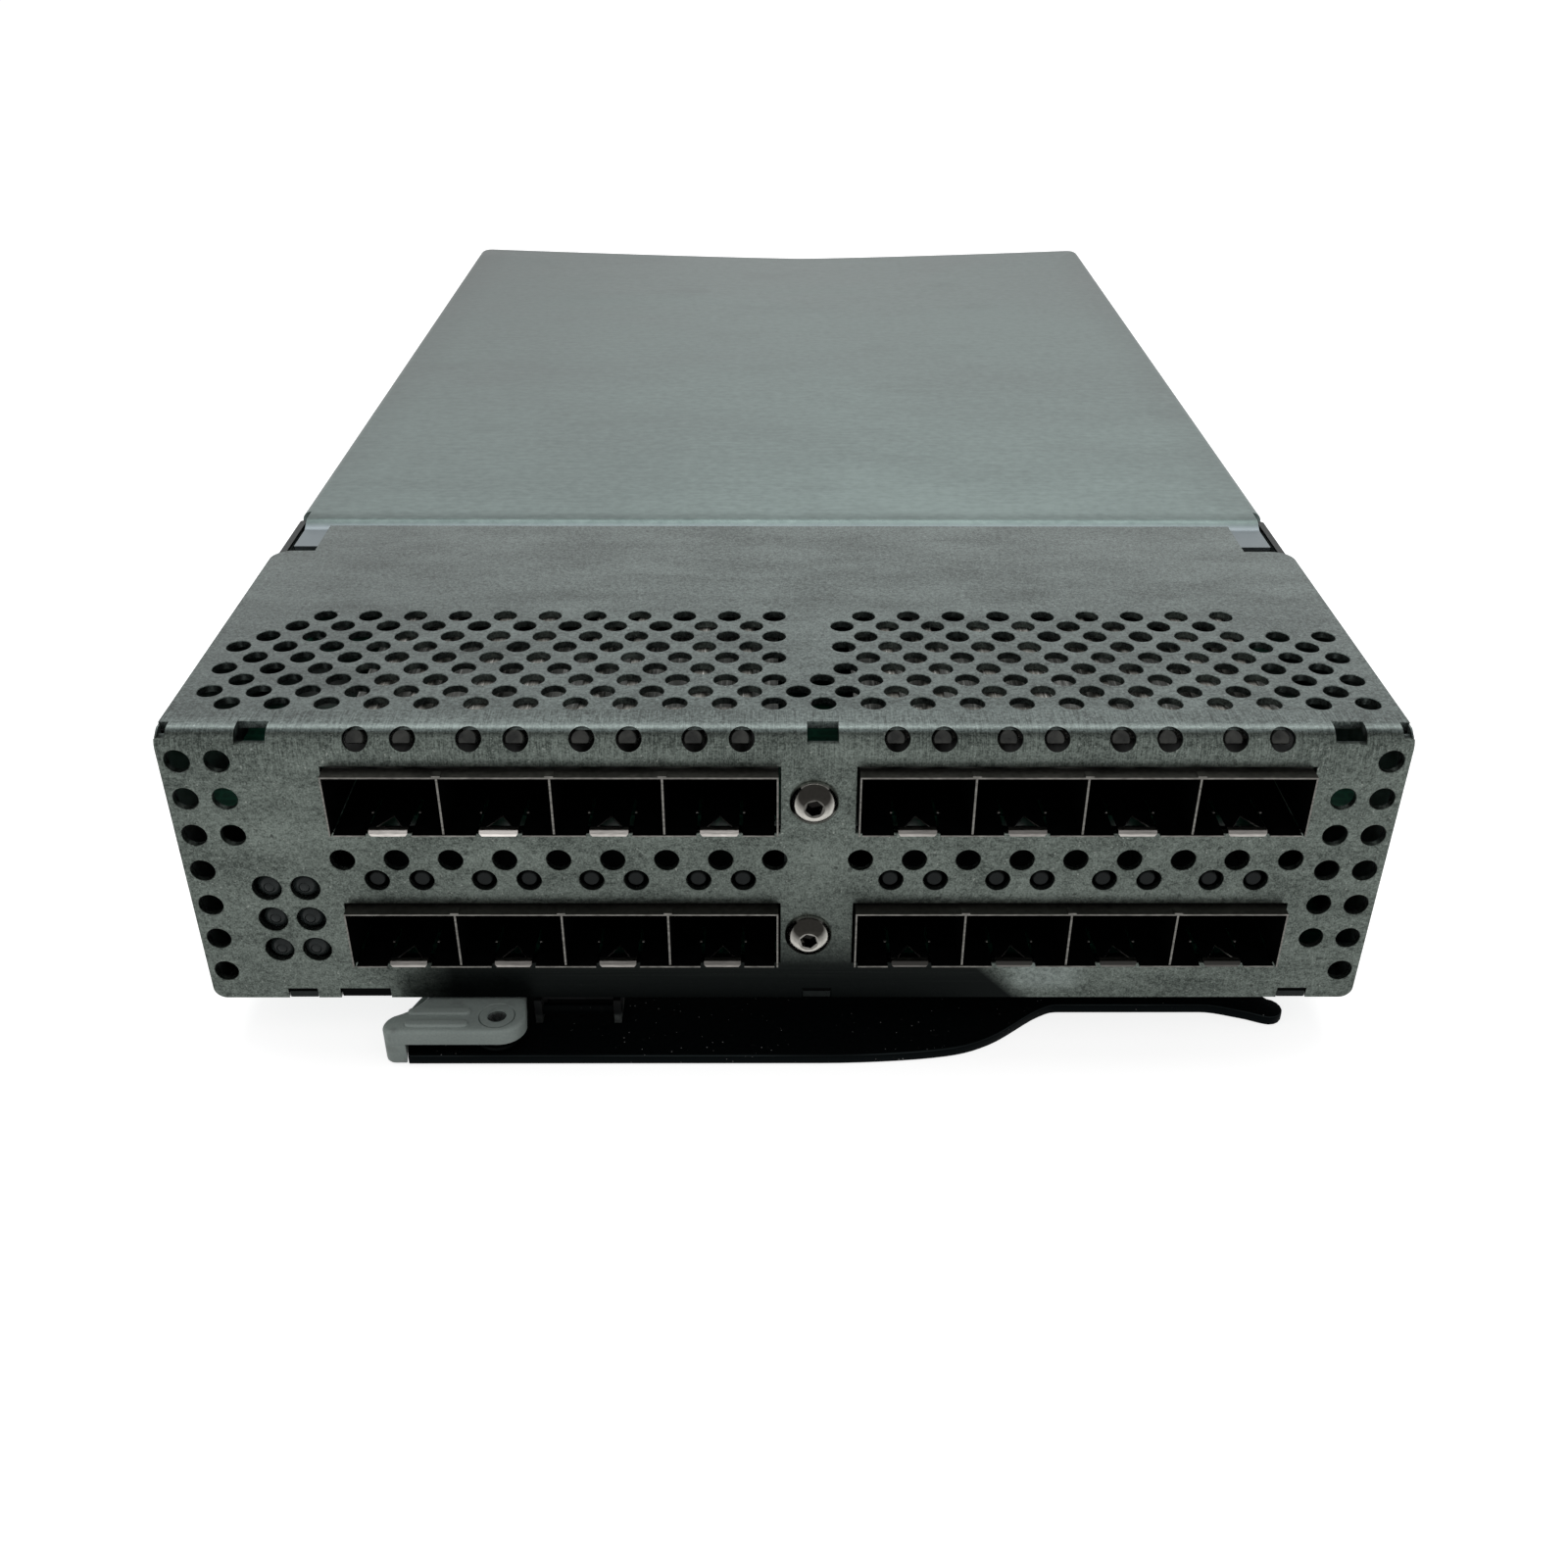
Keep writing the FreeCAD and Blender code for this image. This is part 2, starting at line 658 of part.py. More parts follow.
def cage_cover(cage_start, cage_z):
    """Folded roof, outer walls and rear wall of a ganged cage, open below and in front."""
    x0 = cage_start - cage_wall
    x1 = cage_start + cage_span + cage_wall
    y0, y1 = -cage_protrusion, cage_depth
    top = cage_z + cage_height
    outer = box(x0, x1, y0, y1, cage_z + cage_wall, top)
    room = box(x0 + cage_wall, x1 - cage_wall, y0 - 1, y1 - cage_wall, cage_z - 1, top - cage_wall)
    return outer.cut(room)


def cage_base(cage_start, cage_z):
    """Cage floor with a latch tongue and its triangular hole at each port."""
    x0 = cage_start - cage_wall
    x1 = cage_start + cage_span + cage_wall
    front = -cage_protrusion
    floor = box(x0, x1, front, base_depth, cage_z, cage_z + cage_wall)
    root = front + tongue_length
    floor_top = cage_z + cage_wall
    tip_top = floor_top + tongue_rise
    slope = [(front, tip_top - cage_wall), (root, cage_z), (root + cage_wall, cage_z),
             (root + cage_wall, floor_top), (root, floor_top), (front, tip_top)]
    slots = []
    tongues = []
    holes = []
    for x in port_centres(cage_start):
        half = tongue_width / 2
        tip_half = half - tongue_tip_corner
        room = half + tongue_slit
        slots.append(box(x - room, x + room, front - 1, root, cage_z - 1, floor_top + 1))
        wire = Part.makePolygon([Vector(x - half, y, z) for y, z in slope + slope[:1]])
        tongues.append(Part.Face(wire).extrude(Vector(tongue_width, 0, 0)))
        lip = [(x - half, tip_top), (x + half, tip_top), (x + half, cage_z + tongue_tip_corner),
               (x + tip_half, cage_z), (x - tip_half, cage_z), (x - half, cage_z + tongue_tip_corner)]
        wire = Part.makePolygon([Vector(px, front, pz) for px, pz in lip + lip[:1]])
        tongues.append(Part.Face(wire).extrude(Vector(0, cage_wall, 0)))
        hole_y = front + latch_hole_back
        holes.append(plan([(x - latch_hole_width / 2, hole_y), (x + latch_hole_width / 2, hole_y),
                           (x, hole_y + latch_hole_length)], cage_z - 1, tip_top + 1))
    return joined([floor.cut(slots)] + tongues).cut(holes)


def cage_dividers(cage_start, cage_z):
    """Three upright plates between the four ports."""
    plates = []
    for k in range(1, ports_per_cage):
        x = cage_start + port_pitch * k
        plates.append(box(x - cage_wall / 2, x + cage_wall / 2, -cage_protrusion, cage_depth - cage_wall,
                          cage_z + cage_wall, cage_z + cage_height - cage_wall))
    return Part.makeCompound(plates)


def port_connectors(cage_start, cage_z):
    """Edge-card connector at the back of each port, with a slot for the module's tail."""
    bodies = []
    for x in port_centres(cage_start):
        half = connector_width / 2
        body = box(x - half, x + half, connector_front, cage_depth - cage_wall - cage_window_gap,
                   cage_z, cage_z + connector_height)
        mouth_half = half - connector_slot_side
        mouth_z = cage_z + connector_slot_rise
        mouth = box(x - mouth_half, x + mouth_half, connector_front - 1,
                    connector_front + connector_slot_depth,
                    mouth_z, mouth_z + connector_slot_height)
        bodies.append(body.cut(mouth))
    return Part.makeCompound(bodies)


def upper_light_pipes(cage_start):
    """Eight clear pipes on one carrier, over an upper cage and down behind it to the board."""
    top = hood_under - pipe_gap
    under = top - pipe_width
    cage_top = upper_cage_z + cage_height
    foot = upper_board_top + light_chip_gap
    pieces = []
    for centre in port_centres(cage_start):
        for side in (-1, 1):
            x = centre + side * light_offset
            half = pipe_width / 2
            pieces.append(box(x - half, x + half, pipe_front, pipe_rear, under, top))
            pieces.append(box(x - half, x + half, pipe_rear - pipe_width, pipe_rear, foot, under))
    x0 = port_centres(cage_start)[0] - light_offset
    x1 = port_centres(cage_start)[-1] + light_offset
    pieces.append(box(x0, x1, carrier_front, carrier_front + carrier_length, cage_top, under))
    return joined(pieces)


def lower_light_pipes(cage_start):
    """Eight clear pipes on one carrier, over a lower cage and down behind it to the board."""
    cage_top = lower_cage_z + cage_height
    foot = main_board_top + light_chip_gap
    pieces = []
    for centre in port_centres(cage_start):
        for side in (-1, 1):
            x = centre + side * light_offset
            half = pipe_width / 2
            pieces.append(box(x - half, x + half, lower_pipe_front, pipe_rear,
                              lower_light_z - half, lower_light_z + half))
            pieces.append(box(x - half, x + half, pipe_rear - pipe_width, pipe_rear, foot, lower_light_z))
    x0 = port_centres(cage_start)[0] - light_offset
    x1 = port_centres(cage_start)[-1] + light_offset
    pieces.append(box(x0, x1, carrier_front, carrier_front + carrier_length, cage_top, lower_light_z))
    return joined(pieces)


def status_light_pipes():
    """Six domed pipes in a block that stands on the main board behind the face."""
    edge = status_pipe_radius + 1.2
    x0, x1 = status_x - edge, status_x + status_pitch + edge
    z1 = status_z + 2 * status_pitch + edge
    pieces = [box(x0, x1, status_block_front, status_block_front + status_block_depth, main_board_top, z1)]
    for x, z in status_places():
        tip = Vector(x, status_pipe_front, z)
        reach = status_block_front - status_pipe_front
        pieces.append(prism(tip, 1.3 * status_pipe_radius, back, reach))
        pieces.append(prism(tip + back * 0.5, 2 * status_pipe_radius, back, reach))
    return joined(pieces)


def panel_screws():
    screws = []
    for z in panel_screw_z:
        seat = Vector(panel_screw_x, 0, z)
        rim = seat + Vector(panel_head_radius, 0, 0)
        shoulder = seat + Vector(panel_head_radius * 0.84, -panel_head_height * 0.68, 0)
        crown = seat + Vector(panel_head_radius * 0.5, -panel_head_height, 0)
        middle = seat + Vector(0, -panel_head_height, 0)
        profile = Part.Wire([Part.makeLine(seat, rim), arc(rim, shoulder, crown),
                             Part.makeLine(crown, middle), Part.makeLine(middle, seat)])
        head = Part.Face(profile).revolve(seat, back, 360)
        shank = prism(seat - back * 0.2, 2 * screw_shank_radius, back, panel_screw_length)
        socket = prism(middle - back * 0.5, hex_socket, back, hex_socket_depth + 0.5, 6)
        screws.append(head.fuse(shank).cut(socket))
    return Part.makeCompound(screws)


def centre_bracket():
    """Upright strip behind the face with a foot on the pan's floor."""
    half = bracket_width / 2
    y0 = sheet
    top = panel_screw_z[1] + bracket_top
    strip = box(panel_screw_x - half, panel_screw_x + half, y0, y0 + bracket_thickness, sheet, top)
    foot = box(panel_screw_x - half, panel_screw_x + half, y0, bracket_foot, sheet,
               sheet + bracket_thickness)
    holes = [prism(Vector(panel_screw_x, y0 - 1, z), 2 * screw_clear_radius, back, bracket_thickness + 2)
             for z in panel_screw_z]
    return joined([strip, foot]).cut(holes)


def press_nuts():
    y0 = sheet + bracket_thickness
    nuts = []
    for z in panel_screw_z:
        centre = Vector(panel_screw_x, y0, z)
        body = prism(centre, 2 * press_nut_radius, back, press_nut_height)
        thread = prism(centre - back, 2 * (screw_shank_radius + nut_clearance), back, press_nut_height + 2)
        nuts.append(body.cut(thread))
    return Part.makeCompound(nuts)


def main_post_places():
    side = half_width - sheet - board_side_gap - post_margin
    rows = main_post_rows + (case_depth - rear_post_gap,)
    return [(x, y) for y in rows for x in (-side, side)]


def upper_post_places():
    side = half_width - sheet - board_side_gap - post_margin
    return [(x, y) for y in upper_post_rows for x in (-side, side)]


def board_outline(rear):
    half = half_width - sheet - board_side_gap
    return [(-half, board_front), (half, board_front), (half, lip_front - 4),
            (half - sheet - seam, lip_front - 2),
            (half - sheet - seam, rear), (-half + sheet + seam, rear), (-half + sheet + seam, lip_front - 2),
            (-half, lip_front - 4)]


def board(rear, top, post_places):
    sheet_of_board = plan(board_outline(rear), top - board_thickness, top)
    holes = [prism(Vector(x, y, top - board_thickness - 1), 2 * board_hole_radius, up, board_thickness + 2)
             for x, y in post_places]
    return sheet_of_board.cut(holes)


def posts(places, z0, z1):
    """Hexagonal posts with a threaded bore."""
    group = []
    for x, y in places:
        body = prism(Vector(x, y, z0), 2 * post_radius, up, z1 - z0, 6)
        bore = prism(Vector(x, y, z1 - post_bore_depth), 2 * (screw_shank_radius + nut_clearance), up,
                     post_bore_depth + 1, 6)
        group.append(body.cut(bore))
    return Part.makeCompound(group)


def board_screws(places, board_top):
    group = []
    for x, y in places:
        head = prism(Vector(x, y, board_top), 2 * board_screw_head_radius, up, board_screw_head_height)
        foot = board_top - board_thickness - board_screw_reach
        shank = prism(Vector(x, y, foot), 2 * screw_shank_radius, up, board_top - foot + 0.2, 6)
        group.append(head.fuse(shank))
    return Part.makeCompound(group)


def link_socket():
    z1 = upper_board_top - board_thickness - plug_height
    body = box(-link_width / 2, link_width / 2, link_y - link_depth / 2, link_y + link_depth / 2,
               main_board_top, z1)
    half = link_width / 2 - link_blade_margin
    slot = box(-half, half, link_y - link_blade / 2, link_y + link_blade / 2, z1 - link_blade_depth, z1 + 1)
    return body.cut(slot)


def link_plug():
    z0 = upper_board_top - board_thickness - plug_height
    body = box(-link_width / 2, link_width / 2, link_y - link_depth / 2, link_y + link_depth / 2, z0,
               z0 + plug_height)
    half = link_width / 2 - link_blade_margin - link_blade_gap
    deep = link_blade / 2 - link_blade_gap
    blade = box(-half, half, link_y - deep, link_y + deep, z0 - link_blade_depth + link_blade_gap, z0 + 1)
    return body.fuse(blade)


def block(x, y, width, depth, height, board_top=main_board_top):
    return box(x - width / 2, x + width / 2, y - depth / 2, y + depth / 2, board_top, board_top + height)


def heatsink():
    z0 = main_board_top + switch_chip_height
    half = heatsink_side / 2
    pieces = [box(-half, half, chip_y - half, chip_y + half, z0, z0 + heatsink_base)]
    pitch = (heatsink_side - fin_thickness) / (heatsink_fins - 1)
    for k in range(heatsink_fins):
        x = -half + pitch * k
        pieces.append(box(x, x + fin_thickness, chip_y - half, chip_y + half, z0 + heatsink_base,
                          case_height - sheet - heatsink_gap))
    return joined(pieces)


def memory_chips():
    places = [memory_start + memory_pitch * k for k in range(memory_count)]
    return Part.makeCompound([block(x, case_depth - memory_gap, *memory_size) for x in places])


def power_modules():
    rows = [case_depth - gap for gap in power_module_gaps]
    return Part.makeCompound([block(power_module_x, y, *power_module_size) for y in rows])


def capacitors():
    group = []
    for k in range(capacitor_count):
        place = Vector(capacitor_start + capacitor_pitch * k, case_depth - capacitor_gap, main_board_top)
        group.append(prism(place, capacitor_across, up, capacitor_height))
    return Part.makeCompound(group)


def signal_block(x):
    """Backplane receptacle: a column of open slots for each wafer."""
    y1 = pan_rear_outer + connector_proud
    y0 = y1 - signal_block_depth
    z1 = main_board_top + signal_block_height
    body = box(x - signal_block_width / 2, x + signal_block_width / 2, y0, y1, main_board_top, z1)
    pitch = signal_block_width / signal_wafers
    slots = []
    for k in range(signal_wafers):
        slot_x = x - signal_block_width / 2 + pitch * (k + 0.5)
        slots.append(box(slot_x - wafer_slot / 2, slot_x + wafer_slot / 2, y1 - mating_slot_depth, y1 + 1,
                         main_board_top + wafer_slot_margin, z1 - wafer_slot_margin))
    return body.cut(slots)


def power_connector():
    y1 = pan_rear_outer + connector_proud
    half = power_block_width / 2
    body = box(-half, half, y1 - signal_block_depth, y1, main_board_top,
               main_board_top + signal_block_height)
    slots = []
    for rise in power_slot_rises:
        z = main_board_top + rise
        slots.append(box(-power_slot_width / 2, power_slot_width / 2, y1 - mating_slot_depth, y1 + 1,
                         z, z + power_slot_height))
    return body.cut(slots)


def guide_socket(side):
    """Guide block with a lead-in that takes the chassis pin."""
    x = side * guide_x
    y1 = pan_rear_outer + connector_proud
    z = main_board_top + guide_height / 2
    body = box(x - guide_width / 2, x + guide_width / 2, y1 - guide_depth, y1,
               main_board_top, main_board_top + guide_height)
    bore = rod_y(x, z, guide_bore_radius, y1 - guide_bore_depth, y1 + 1)
    lead = Part.makeCone(guide_bore_radius, guide_bore_radius + guide_lead, guide_lead,
                         Vector(x, y1 - guide_lead, z), back)
    return body.cut([bore, lead])


def lever_outline():
    """Plan of the lever plate: handle edge, S-curve to the narrow part, flared tail, pivot boss."""
    z = plate_bottom

    def at(x, y):
        return Vector(x, y, z)

    corner_y = plate_front
    reach = math.sqrt(grip_end_radius ** 2 - (corner_y - grip_pivot_y) ** 2)
    left_front = at(grip_pivot_x - reach, corner_y)
    left_mid = at(grip_pivot_x - grip_end_radius, grip_pivot_y)
    left_rear = at(grip_pivot_x - math.sqrt(grip_end_radius ** 2 - plate_end_rise ** 2),
                   grip_pivot_y + plate_end_rise)
    handle_end = at(handle_end_x, plate_front)
    curve_end = at(curve_end_x, plate_step)
    tail_start = at(tail_start_x, plate_step)
    curve = Part.BSplineCurve()
    middle = [at(x, plate_front + run) for x, run in curve_middle]
    curve.interpolate(Points=[handle_end] + middle + [curve_end],
                      InitialTangent=Vector(16, 0, 0), FinalTangent=Vector(8, 0, 0))
    tail = Part.BSplineCurve()
    tail.interpolate(Points=[tail_start, at(*tail_bend), at(*tail_corner)],
                     InitialTangent=Vector(6, 0, 0), FinalTangent=Vector(4, -0.6, 0))
    boss_turn = pivot_boss_radius * math.sqrt(0.5)
    boss_right = at(pivot_x + pivot_boss_radius, pivot_y)
    boss_top = at(pivot_x, pivot_y + pivot_boss_radius)
    rear_right, rear_left = [at(*place) for place in plate_rear]
    edges = [
        Part.makeLine(left_front, handle_end),
        curve.toShape(),
        Part.makeLine(curve_end, tail_start),
        tail.toShape(),
        arc(at(*tail_corner), at(*tail_tip), at(*tail_back)),
        Part.makeLine(at(*tail_back), boss_right),
        arc(boss_right, at(pivot_x + boss_turn, pivot_y + boss_turn), boss_top),
        Part.makeLine(boss_top, rear_right),
        Part.makeLine(rear_right, rear_left),
        Part.makeLine(rear_left, left_rear),
        arc(left_rear, left_mid, left_front),
    ]
    return Part.Wire(edges)


def lever():
    plate = Part.Face(lever_outline()).extrude(Vector(0, 0, plate_thickness))
    shank = rod_z(pivot_x, pivot_y, pivot_shank_radius + pivot_clearance, plate_bottom - 1, plate_top + 1)
    sink = Part.makeCone(pivot_head_radius + pivot_clearance, pivot_shank_radius + pivot_clearance,
                         pivot_head_radius - pivot_shank_radius, Vector(pivot_x, pivot_y, plate_bottom))
    thread = rod_z(grip_pivot_x, grip_pivot_y, grip_screw_radius + nut_clearance, plate_bottom - 1,
                   plate_top + 1)
    return plate.cut([shank, sink, thread])


def lever_rivet():
    """Countersunk pivot rivet, flush with the plate and clinched under the pan's floor."""
    head_height = pivot_head_radius - pivot_shank_radius
    head = Part.makeCone(pivot_head_radius, pivot_shank_radius, head_height,
                         Vector(pivot_x, pivot_y, plate_bottom))
    shank = rod_z(pivot_x, pivot_y, pivot_shank_radius, plate_bottom, 0)
    return head.fuse(shank)


def ring(x, y, outer, inner, z0, z1):
    return rod_z(x, y, outer, z0, z1).cut(rod_z(x, y, inner, z0 - 1, z1 + 1))


def lever_spacer():
    return ring(pivot_x, pivot_y, spacer_radius, pivot_shank_radius + pivot_clearance,
                plate_top + pivot_clearance + washer_thickness, 0)


def lever_washer():
    return ring(pivot_x, pivot_y, spacer_radius + 1.2, pivot_shank_radius + pivot_clearance,
                plate_top + pivot_clearance, plate_top + pivot_clearance + washer_thickness)


def catch_bracket():
    """Folded bracket riveted under the pan, with two ears that the grip's hook closes on."""
    ear_foot = plate_top + catch_plate_gap
    base = box(catch_left, catch_right, catch_front + 1, catch_front + catch_base_depth, -catch_sheet, 0)
    ears = []
    for x in (catch_left, catch_right - catch_sheet):
        ears.append(box(x, x + catch_sheet, catch_front, catch_front + catch_ear_depth, ear_foot,
                        -catch_sheet / 2))
    holes = [prism(place - up, 2 * catch_rivet_radius, up, catch_sheet + 2)
             for place in catch_rivet_places()]
    return joined([base] + ears).cut(holes + [catch_pin(1.0)])


def catch_rivet_places():
    middle = (catch_left + catch_right) / 2
    return [Vector(middle + side * catch_rivet_half, catch_front + catch_rivet_back, -catch_sheet)
            for side in (-1, 1)]


def catch_rivets():
    group = []
    for place in catch_rivet_places():
        head = prism(place - up * catch_rivet_head, 3.6 * catch_rivet_radius, up, catch_rivet_head)
        shank = prism(place - up * 0.1, 2 * catch_rivet_radius, up, catch_sheet + 0.1)
        group.append(head.fuse(shank))
    return Part.makeCompound(group)


def catch_pin(extra=0.0):
    start = Vector(catch_left - extra, catch_front + catch_pin_back,
                   plate_top + catch_plate_gap + catch_pin_up)
    return prism(start, 2 * catch_pin_radius, Vector(1, 0, 0), catch_right - catch_left + 2 * extra)


def grip_outline():
    z = grip_bottom

    def at(x, y):
        return Vector(x, y, z)

    front = plate_front
    turn = math.sqrt(0.5)
    cut_left = grip_left_corner * (1 - turn)
    cut_right = grip_corner * (1 - turn)
    rear_left = at(grip_rear_x, grip_rear)
    shoulder_rear, shoulder_mid, shoulder_step, shoulder_front = [at(*place) for place in grip_shoulder]
    left_start = at(grip_left, front + grip_left_corner)
    left_end = at(grip_left + grip_left_corner, front)
    right_start = at(grip_right - grip_corner, front)
    right_end = at(grip_right, front + grip_corner)
    notch_front, notch_rear = [at(*place) for place in hook_notch]
    tip = at(*hook_tip)
    hook_rear = at(hook_tip[0] - hook_slope, grip_rear)
    edges = [
        Part.makeLine(rear_left, shoulder_rear),
        arc(shoulder_rear, shoulder_mid, shoulder_step),
        arc(shoulder_step, shoulder_front, left_start),
        arc(left_start, at(grip_left + cut_left, front + cut_left), left_end),
        Part.makeLine(left_end, right_start),
        arc(right_start, at(grip_right - cut_right, front + cut_right), right_end),
        Part.makeLine(right_end, notch_front),
        Part.makeLine(notch_front, notch_rear),
        Part.makeLine(notch_rear, tip),
        Part.makeLine(tip, hook_rear),
        Part.makeLine(hook_rear, rear_left),
    ]
    return Part.Wire(edges)


def grip():
    """Moulded latch: slab over the plate, leg round the plate's end, finger ridges, pivot hub."""
    outline = Part.Face(grip_outline())
    slab = outline.extrude(Vector(0, 0, grip_thickness))
    rim = [e for e in slab.Edges if e.BoundBox.ZMin > grip_top - 1e-4
           and e.BoundBox.YMax < plate_front + grip_corner + 0.1]
    slab = slab.makeFillet(grip_edge_radius, rim)
    leg = outline.extrude(Vector(0, 0, plate_bottom - grip_bottom))
    keep = box(grip_left - 1, grip_pivot_x - grip_leg_reach, plate_front - 1, grip_pivot_y + grip_leg_rear,
               plate_bottom - 1, grip_bottom + 1)
    plate_room = rod_z(grip_pivot_x, grip_pivot_y, grip_end_radius + grip_end_gap, plate_bottom - 1,
                       grip_bottom)
    leg = leg.common(keep).cut(plate_room)
    hub = rod_z(grip_pivot_x, grip_pivot_y, grip_hub_radius, plate_top + 0.1, grip_bottom + 0.2)
    pieces = [slab, leg, hub]
    for y in ridge_rows:
        half = ridge_width / 2
        z0, z1 = grip_top - 0.2, grip_top + ridge_height
        pieces.append(box(ridge_left + half, ridge_right - half, y - half, y + half, z0, z1))
        for x in (ridge_left + half, ridge_right - half):
            pieces.append(prism(Vector(x, y, z0), ridge_width, up, z1 - z0))
    body = joined(pieces)
    bore = rod_z(grip_pivot_x, grip_pivot_y, bush_barrel_radius + bush_clearance, plate_top - 1,
                 grip_top + 1)
    seat = rod_z(grip_pivot_x, grip_pivot_y, bush_flange_radius + bush_clearance,
                 grip_top - bush_flange_height - bush_clearance, grip_top + 1)
    return body.cut([bore, seat])


def grip_bush():
    barrel = rod_z(grip_pivot_x, grip_pivot_y, bush_barrel_radius, plate_top, grip_top)
    flange = rod_z(grip_pivot_x, grip_pivot_y, bush_flange_radius, grip_top - bush_flange_height, grip_top)
    return barrel.fuse(flange).cut(rod_z(grip_pivot_x, grip_pivot_y, grip_screw_radius, plate_top - 1,
                                         grip_top + 1))


def grip_screw():
    top = grip_top - 0.35
    body = rod_z(grip_pivot_x, grip_pivot_y, grip_screw_radius, plate_bottom, top)
    socket = prism(Vector(grip_pivot_x, grip_pivot_y, top - 1.6), grip_socket, up, 2.0, 6)
    return body.cut(socket)


def latch_spring():
    """Torsion spring: a half coil round the front of the grip's hub and two legs that run back."""
    z = (plate_top + grip_bottom) / 2
    half = spring_wire / 2
    coil = ring(grip_pivot_x, grip_pivot_y, spring_radius + half, spring_radius - half, z - half, z + half)
    front_half = coil.common(box(grip_pivot_x - 5, grip_pivot_x + 5, grip_pivot_y - 5, grip_pivot_y, z - 1,
                                 z + 1))
    legs = [box(grip_pivot_x + side * spring_radius - half, grip_pivot_x + side * spring_radius + half,
                grip_pivot_y, grip_pivot_y + spring_leg, z - half, z + half) for side in (-1, 1)]
    return front_half.fuse(legs)


def build():
    os.makedirs("parts", exist_ok=True)
    save("front_shell", front_shell())
    save("rear_cover", rear_cover())
    save("bottom_pan", bottom_pan())
    save("cover_screws", cover_screws())
    rows = (("upper", upper_cage_z), ("lower", lower_cage_z))
    sides = (("left", left_cage_start), ("right", right_cage_start))
    for row, cage_z in rows:
        for side, cage_start in sides:
            tag = row + "_" + side
            save("cage_cover_" + tag, cage_cover(cage_start, cage_z))
            save("cage_base_" + tag, cage_base(cage_start, cage_z))
            save("cage_dividers_" + tag, cage_dividers(cage_start, cage_z))
            save("port_connectors_" + tag, port_connectors(cage_start, cage_z))
    for side, cage_start in sides:
        save("light_pipes_upper_" + side, upper_light_pipes(cage_start))
        save("light_pipes_lower_" + side, lower_light_pipes(cage_start))
    save("status_light_pipes", status_light_pipes())
    save("panel_screws", panel_screws())
    save("centre_bracket", centre_bracket())
    save("press_nuts", press_nuts())
    save("main_board", board(main_board_rear, main_board_top, main_post_places()))
    save("upper_board", board(upper_board_rear, upper_board_top, upper_post_places()))
    save("main_posts", posts(main_post_places(), sheet, main_board_top - board_thickness))
    save("upper_posts", posts(upper_post_places(), main_board_top, upper_board_top - board_thickness))
    save("main_board_screws", board_screws(main_post_places(), main_board_top))
    save("upper_board_screws", board_screws(upper_post_places(), upper_board_top))
    save("link_socket", link_socket())
    save("link_plug", link_plug())
    save("switch_chip", block(0, chip_y, switch_chip_side, switch_chip_side, switch_chip_height))
    save("heatsink", heatsink())
    save("processor_chip", block(processor_x, case_depth - processor_gap, processor_side, processor_side,
                                 processor_height))
    save("memory_chips", memory_chips())
    save("power_modules", power_modules())
    save("capacitors", capacitors())
    save("signal_block_left", signal_block(-signal_block_x))
    save("signal_block_right", signal_block(signal_block_x))
    save("power_connector", power_connector())
    save("guide_socket_left", guide_socket(-1))
    save("guide_socket_right", guide_socket(1))
    save("lever", lever())
    save("lever_rivet", lever_rivet())
    save("lever_spacer", lever_spacer())
    save("lever_washer", lever_washer())
    save("catch_bracket", catch_bracket())
    save("catch_rivets", catch_rivets())
    save("catch_pin", catch_pin())
    save("grip", grip())
    save("grip_bush", grip_bush())
    save("grip_screw", grip_screw())
    save("latch_spring", latch_spring())


build()
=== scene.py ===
import json
import math

import bmesh
import bpy
from mathutils import Matrix, Vector

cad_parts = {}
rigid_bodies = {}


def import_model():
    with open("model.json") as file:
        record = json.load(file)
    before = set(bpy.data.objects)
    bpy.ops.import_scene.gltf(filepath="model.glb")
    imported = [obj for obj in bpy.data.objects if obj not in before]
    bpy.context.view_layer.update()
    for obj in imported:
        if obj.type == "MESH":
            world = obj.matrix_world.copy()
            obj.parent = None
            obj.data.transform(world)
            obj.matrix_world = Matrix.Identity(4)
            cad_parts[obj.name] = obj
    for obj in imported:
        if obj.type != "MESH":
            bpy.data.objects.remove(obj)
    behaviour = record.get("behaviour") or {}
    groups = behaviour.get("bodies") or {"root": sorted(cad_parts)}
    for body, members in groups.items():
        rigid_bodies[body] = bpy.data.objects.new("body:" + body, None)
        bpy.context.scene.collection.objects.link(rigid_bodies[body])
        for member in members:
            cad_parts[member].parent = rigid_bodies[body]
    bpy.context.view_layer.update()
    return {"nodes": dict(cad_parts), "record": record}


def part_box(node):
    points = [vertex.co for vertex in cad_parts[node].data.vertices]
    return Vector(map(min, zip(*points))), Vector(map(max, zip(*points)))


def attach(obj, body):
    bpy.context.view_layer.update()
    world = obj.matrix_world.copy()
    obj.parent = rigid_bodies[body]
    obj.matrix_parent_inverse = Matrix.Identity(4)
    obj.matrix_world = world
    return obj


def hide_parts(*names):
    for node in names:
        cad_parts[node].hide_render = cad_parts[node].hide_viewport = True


# Switch line card: perforated front shell, dented cover, four ganged port cages and a swing-out lever.

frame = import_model()
nodes = frame["nodes"]
mm = 0.001
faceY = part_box("front_shell")[0].y           # plane of the port face
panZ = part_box("bottom_pan")[0].z             # underside of the case
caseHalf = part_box("front_shell")[1].x / mm
caseTop = (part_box("front_shell")[1].z - panZ) / mm
caseDepth = (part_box("rear_cover")[1].y - faceY) / mm
print("frame loaded:", len(nodes), "nodes")


def at(x, y, z):
    # a point in millimetres from the face plane and the underside, in the row frame
    return Vector((x * mm, faceY + y * mm, panZ + z * mm))


# shader helpers

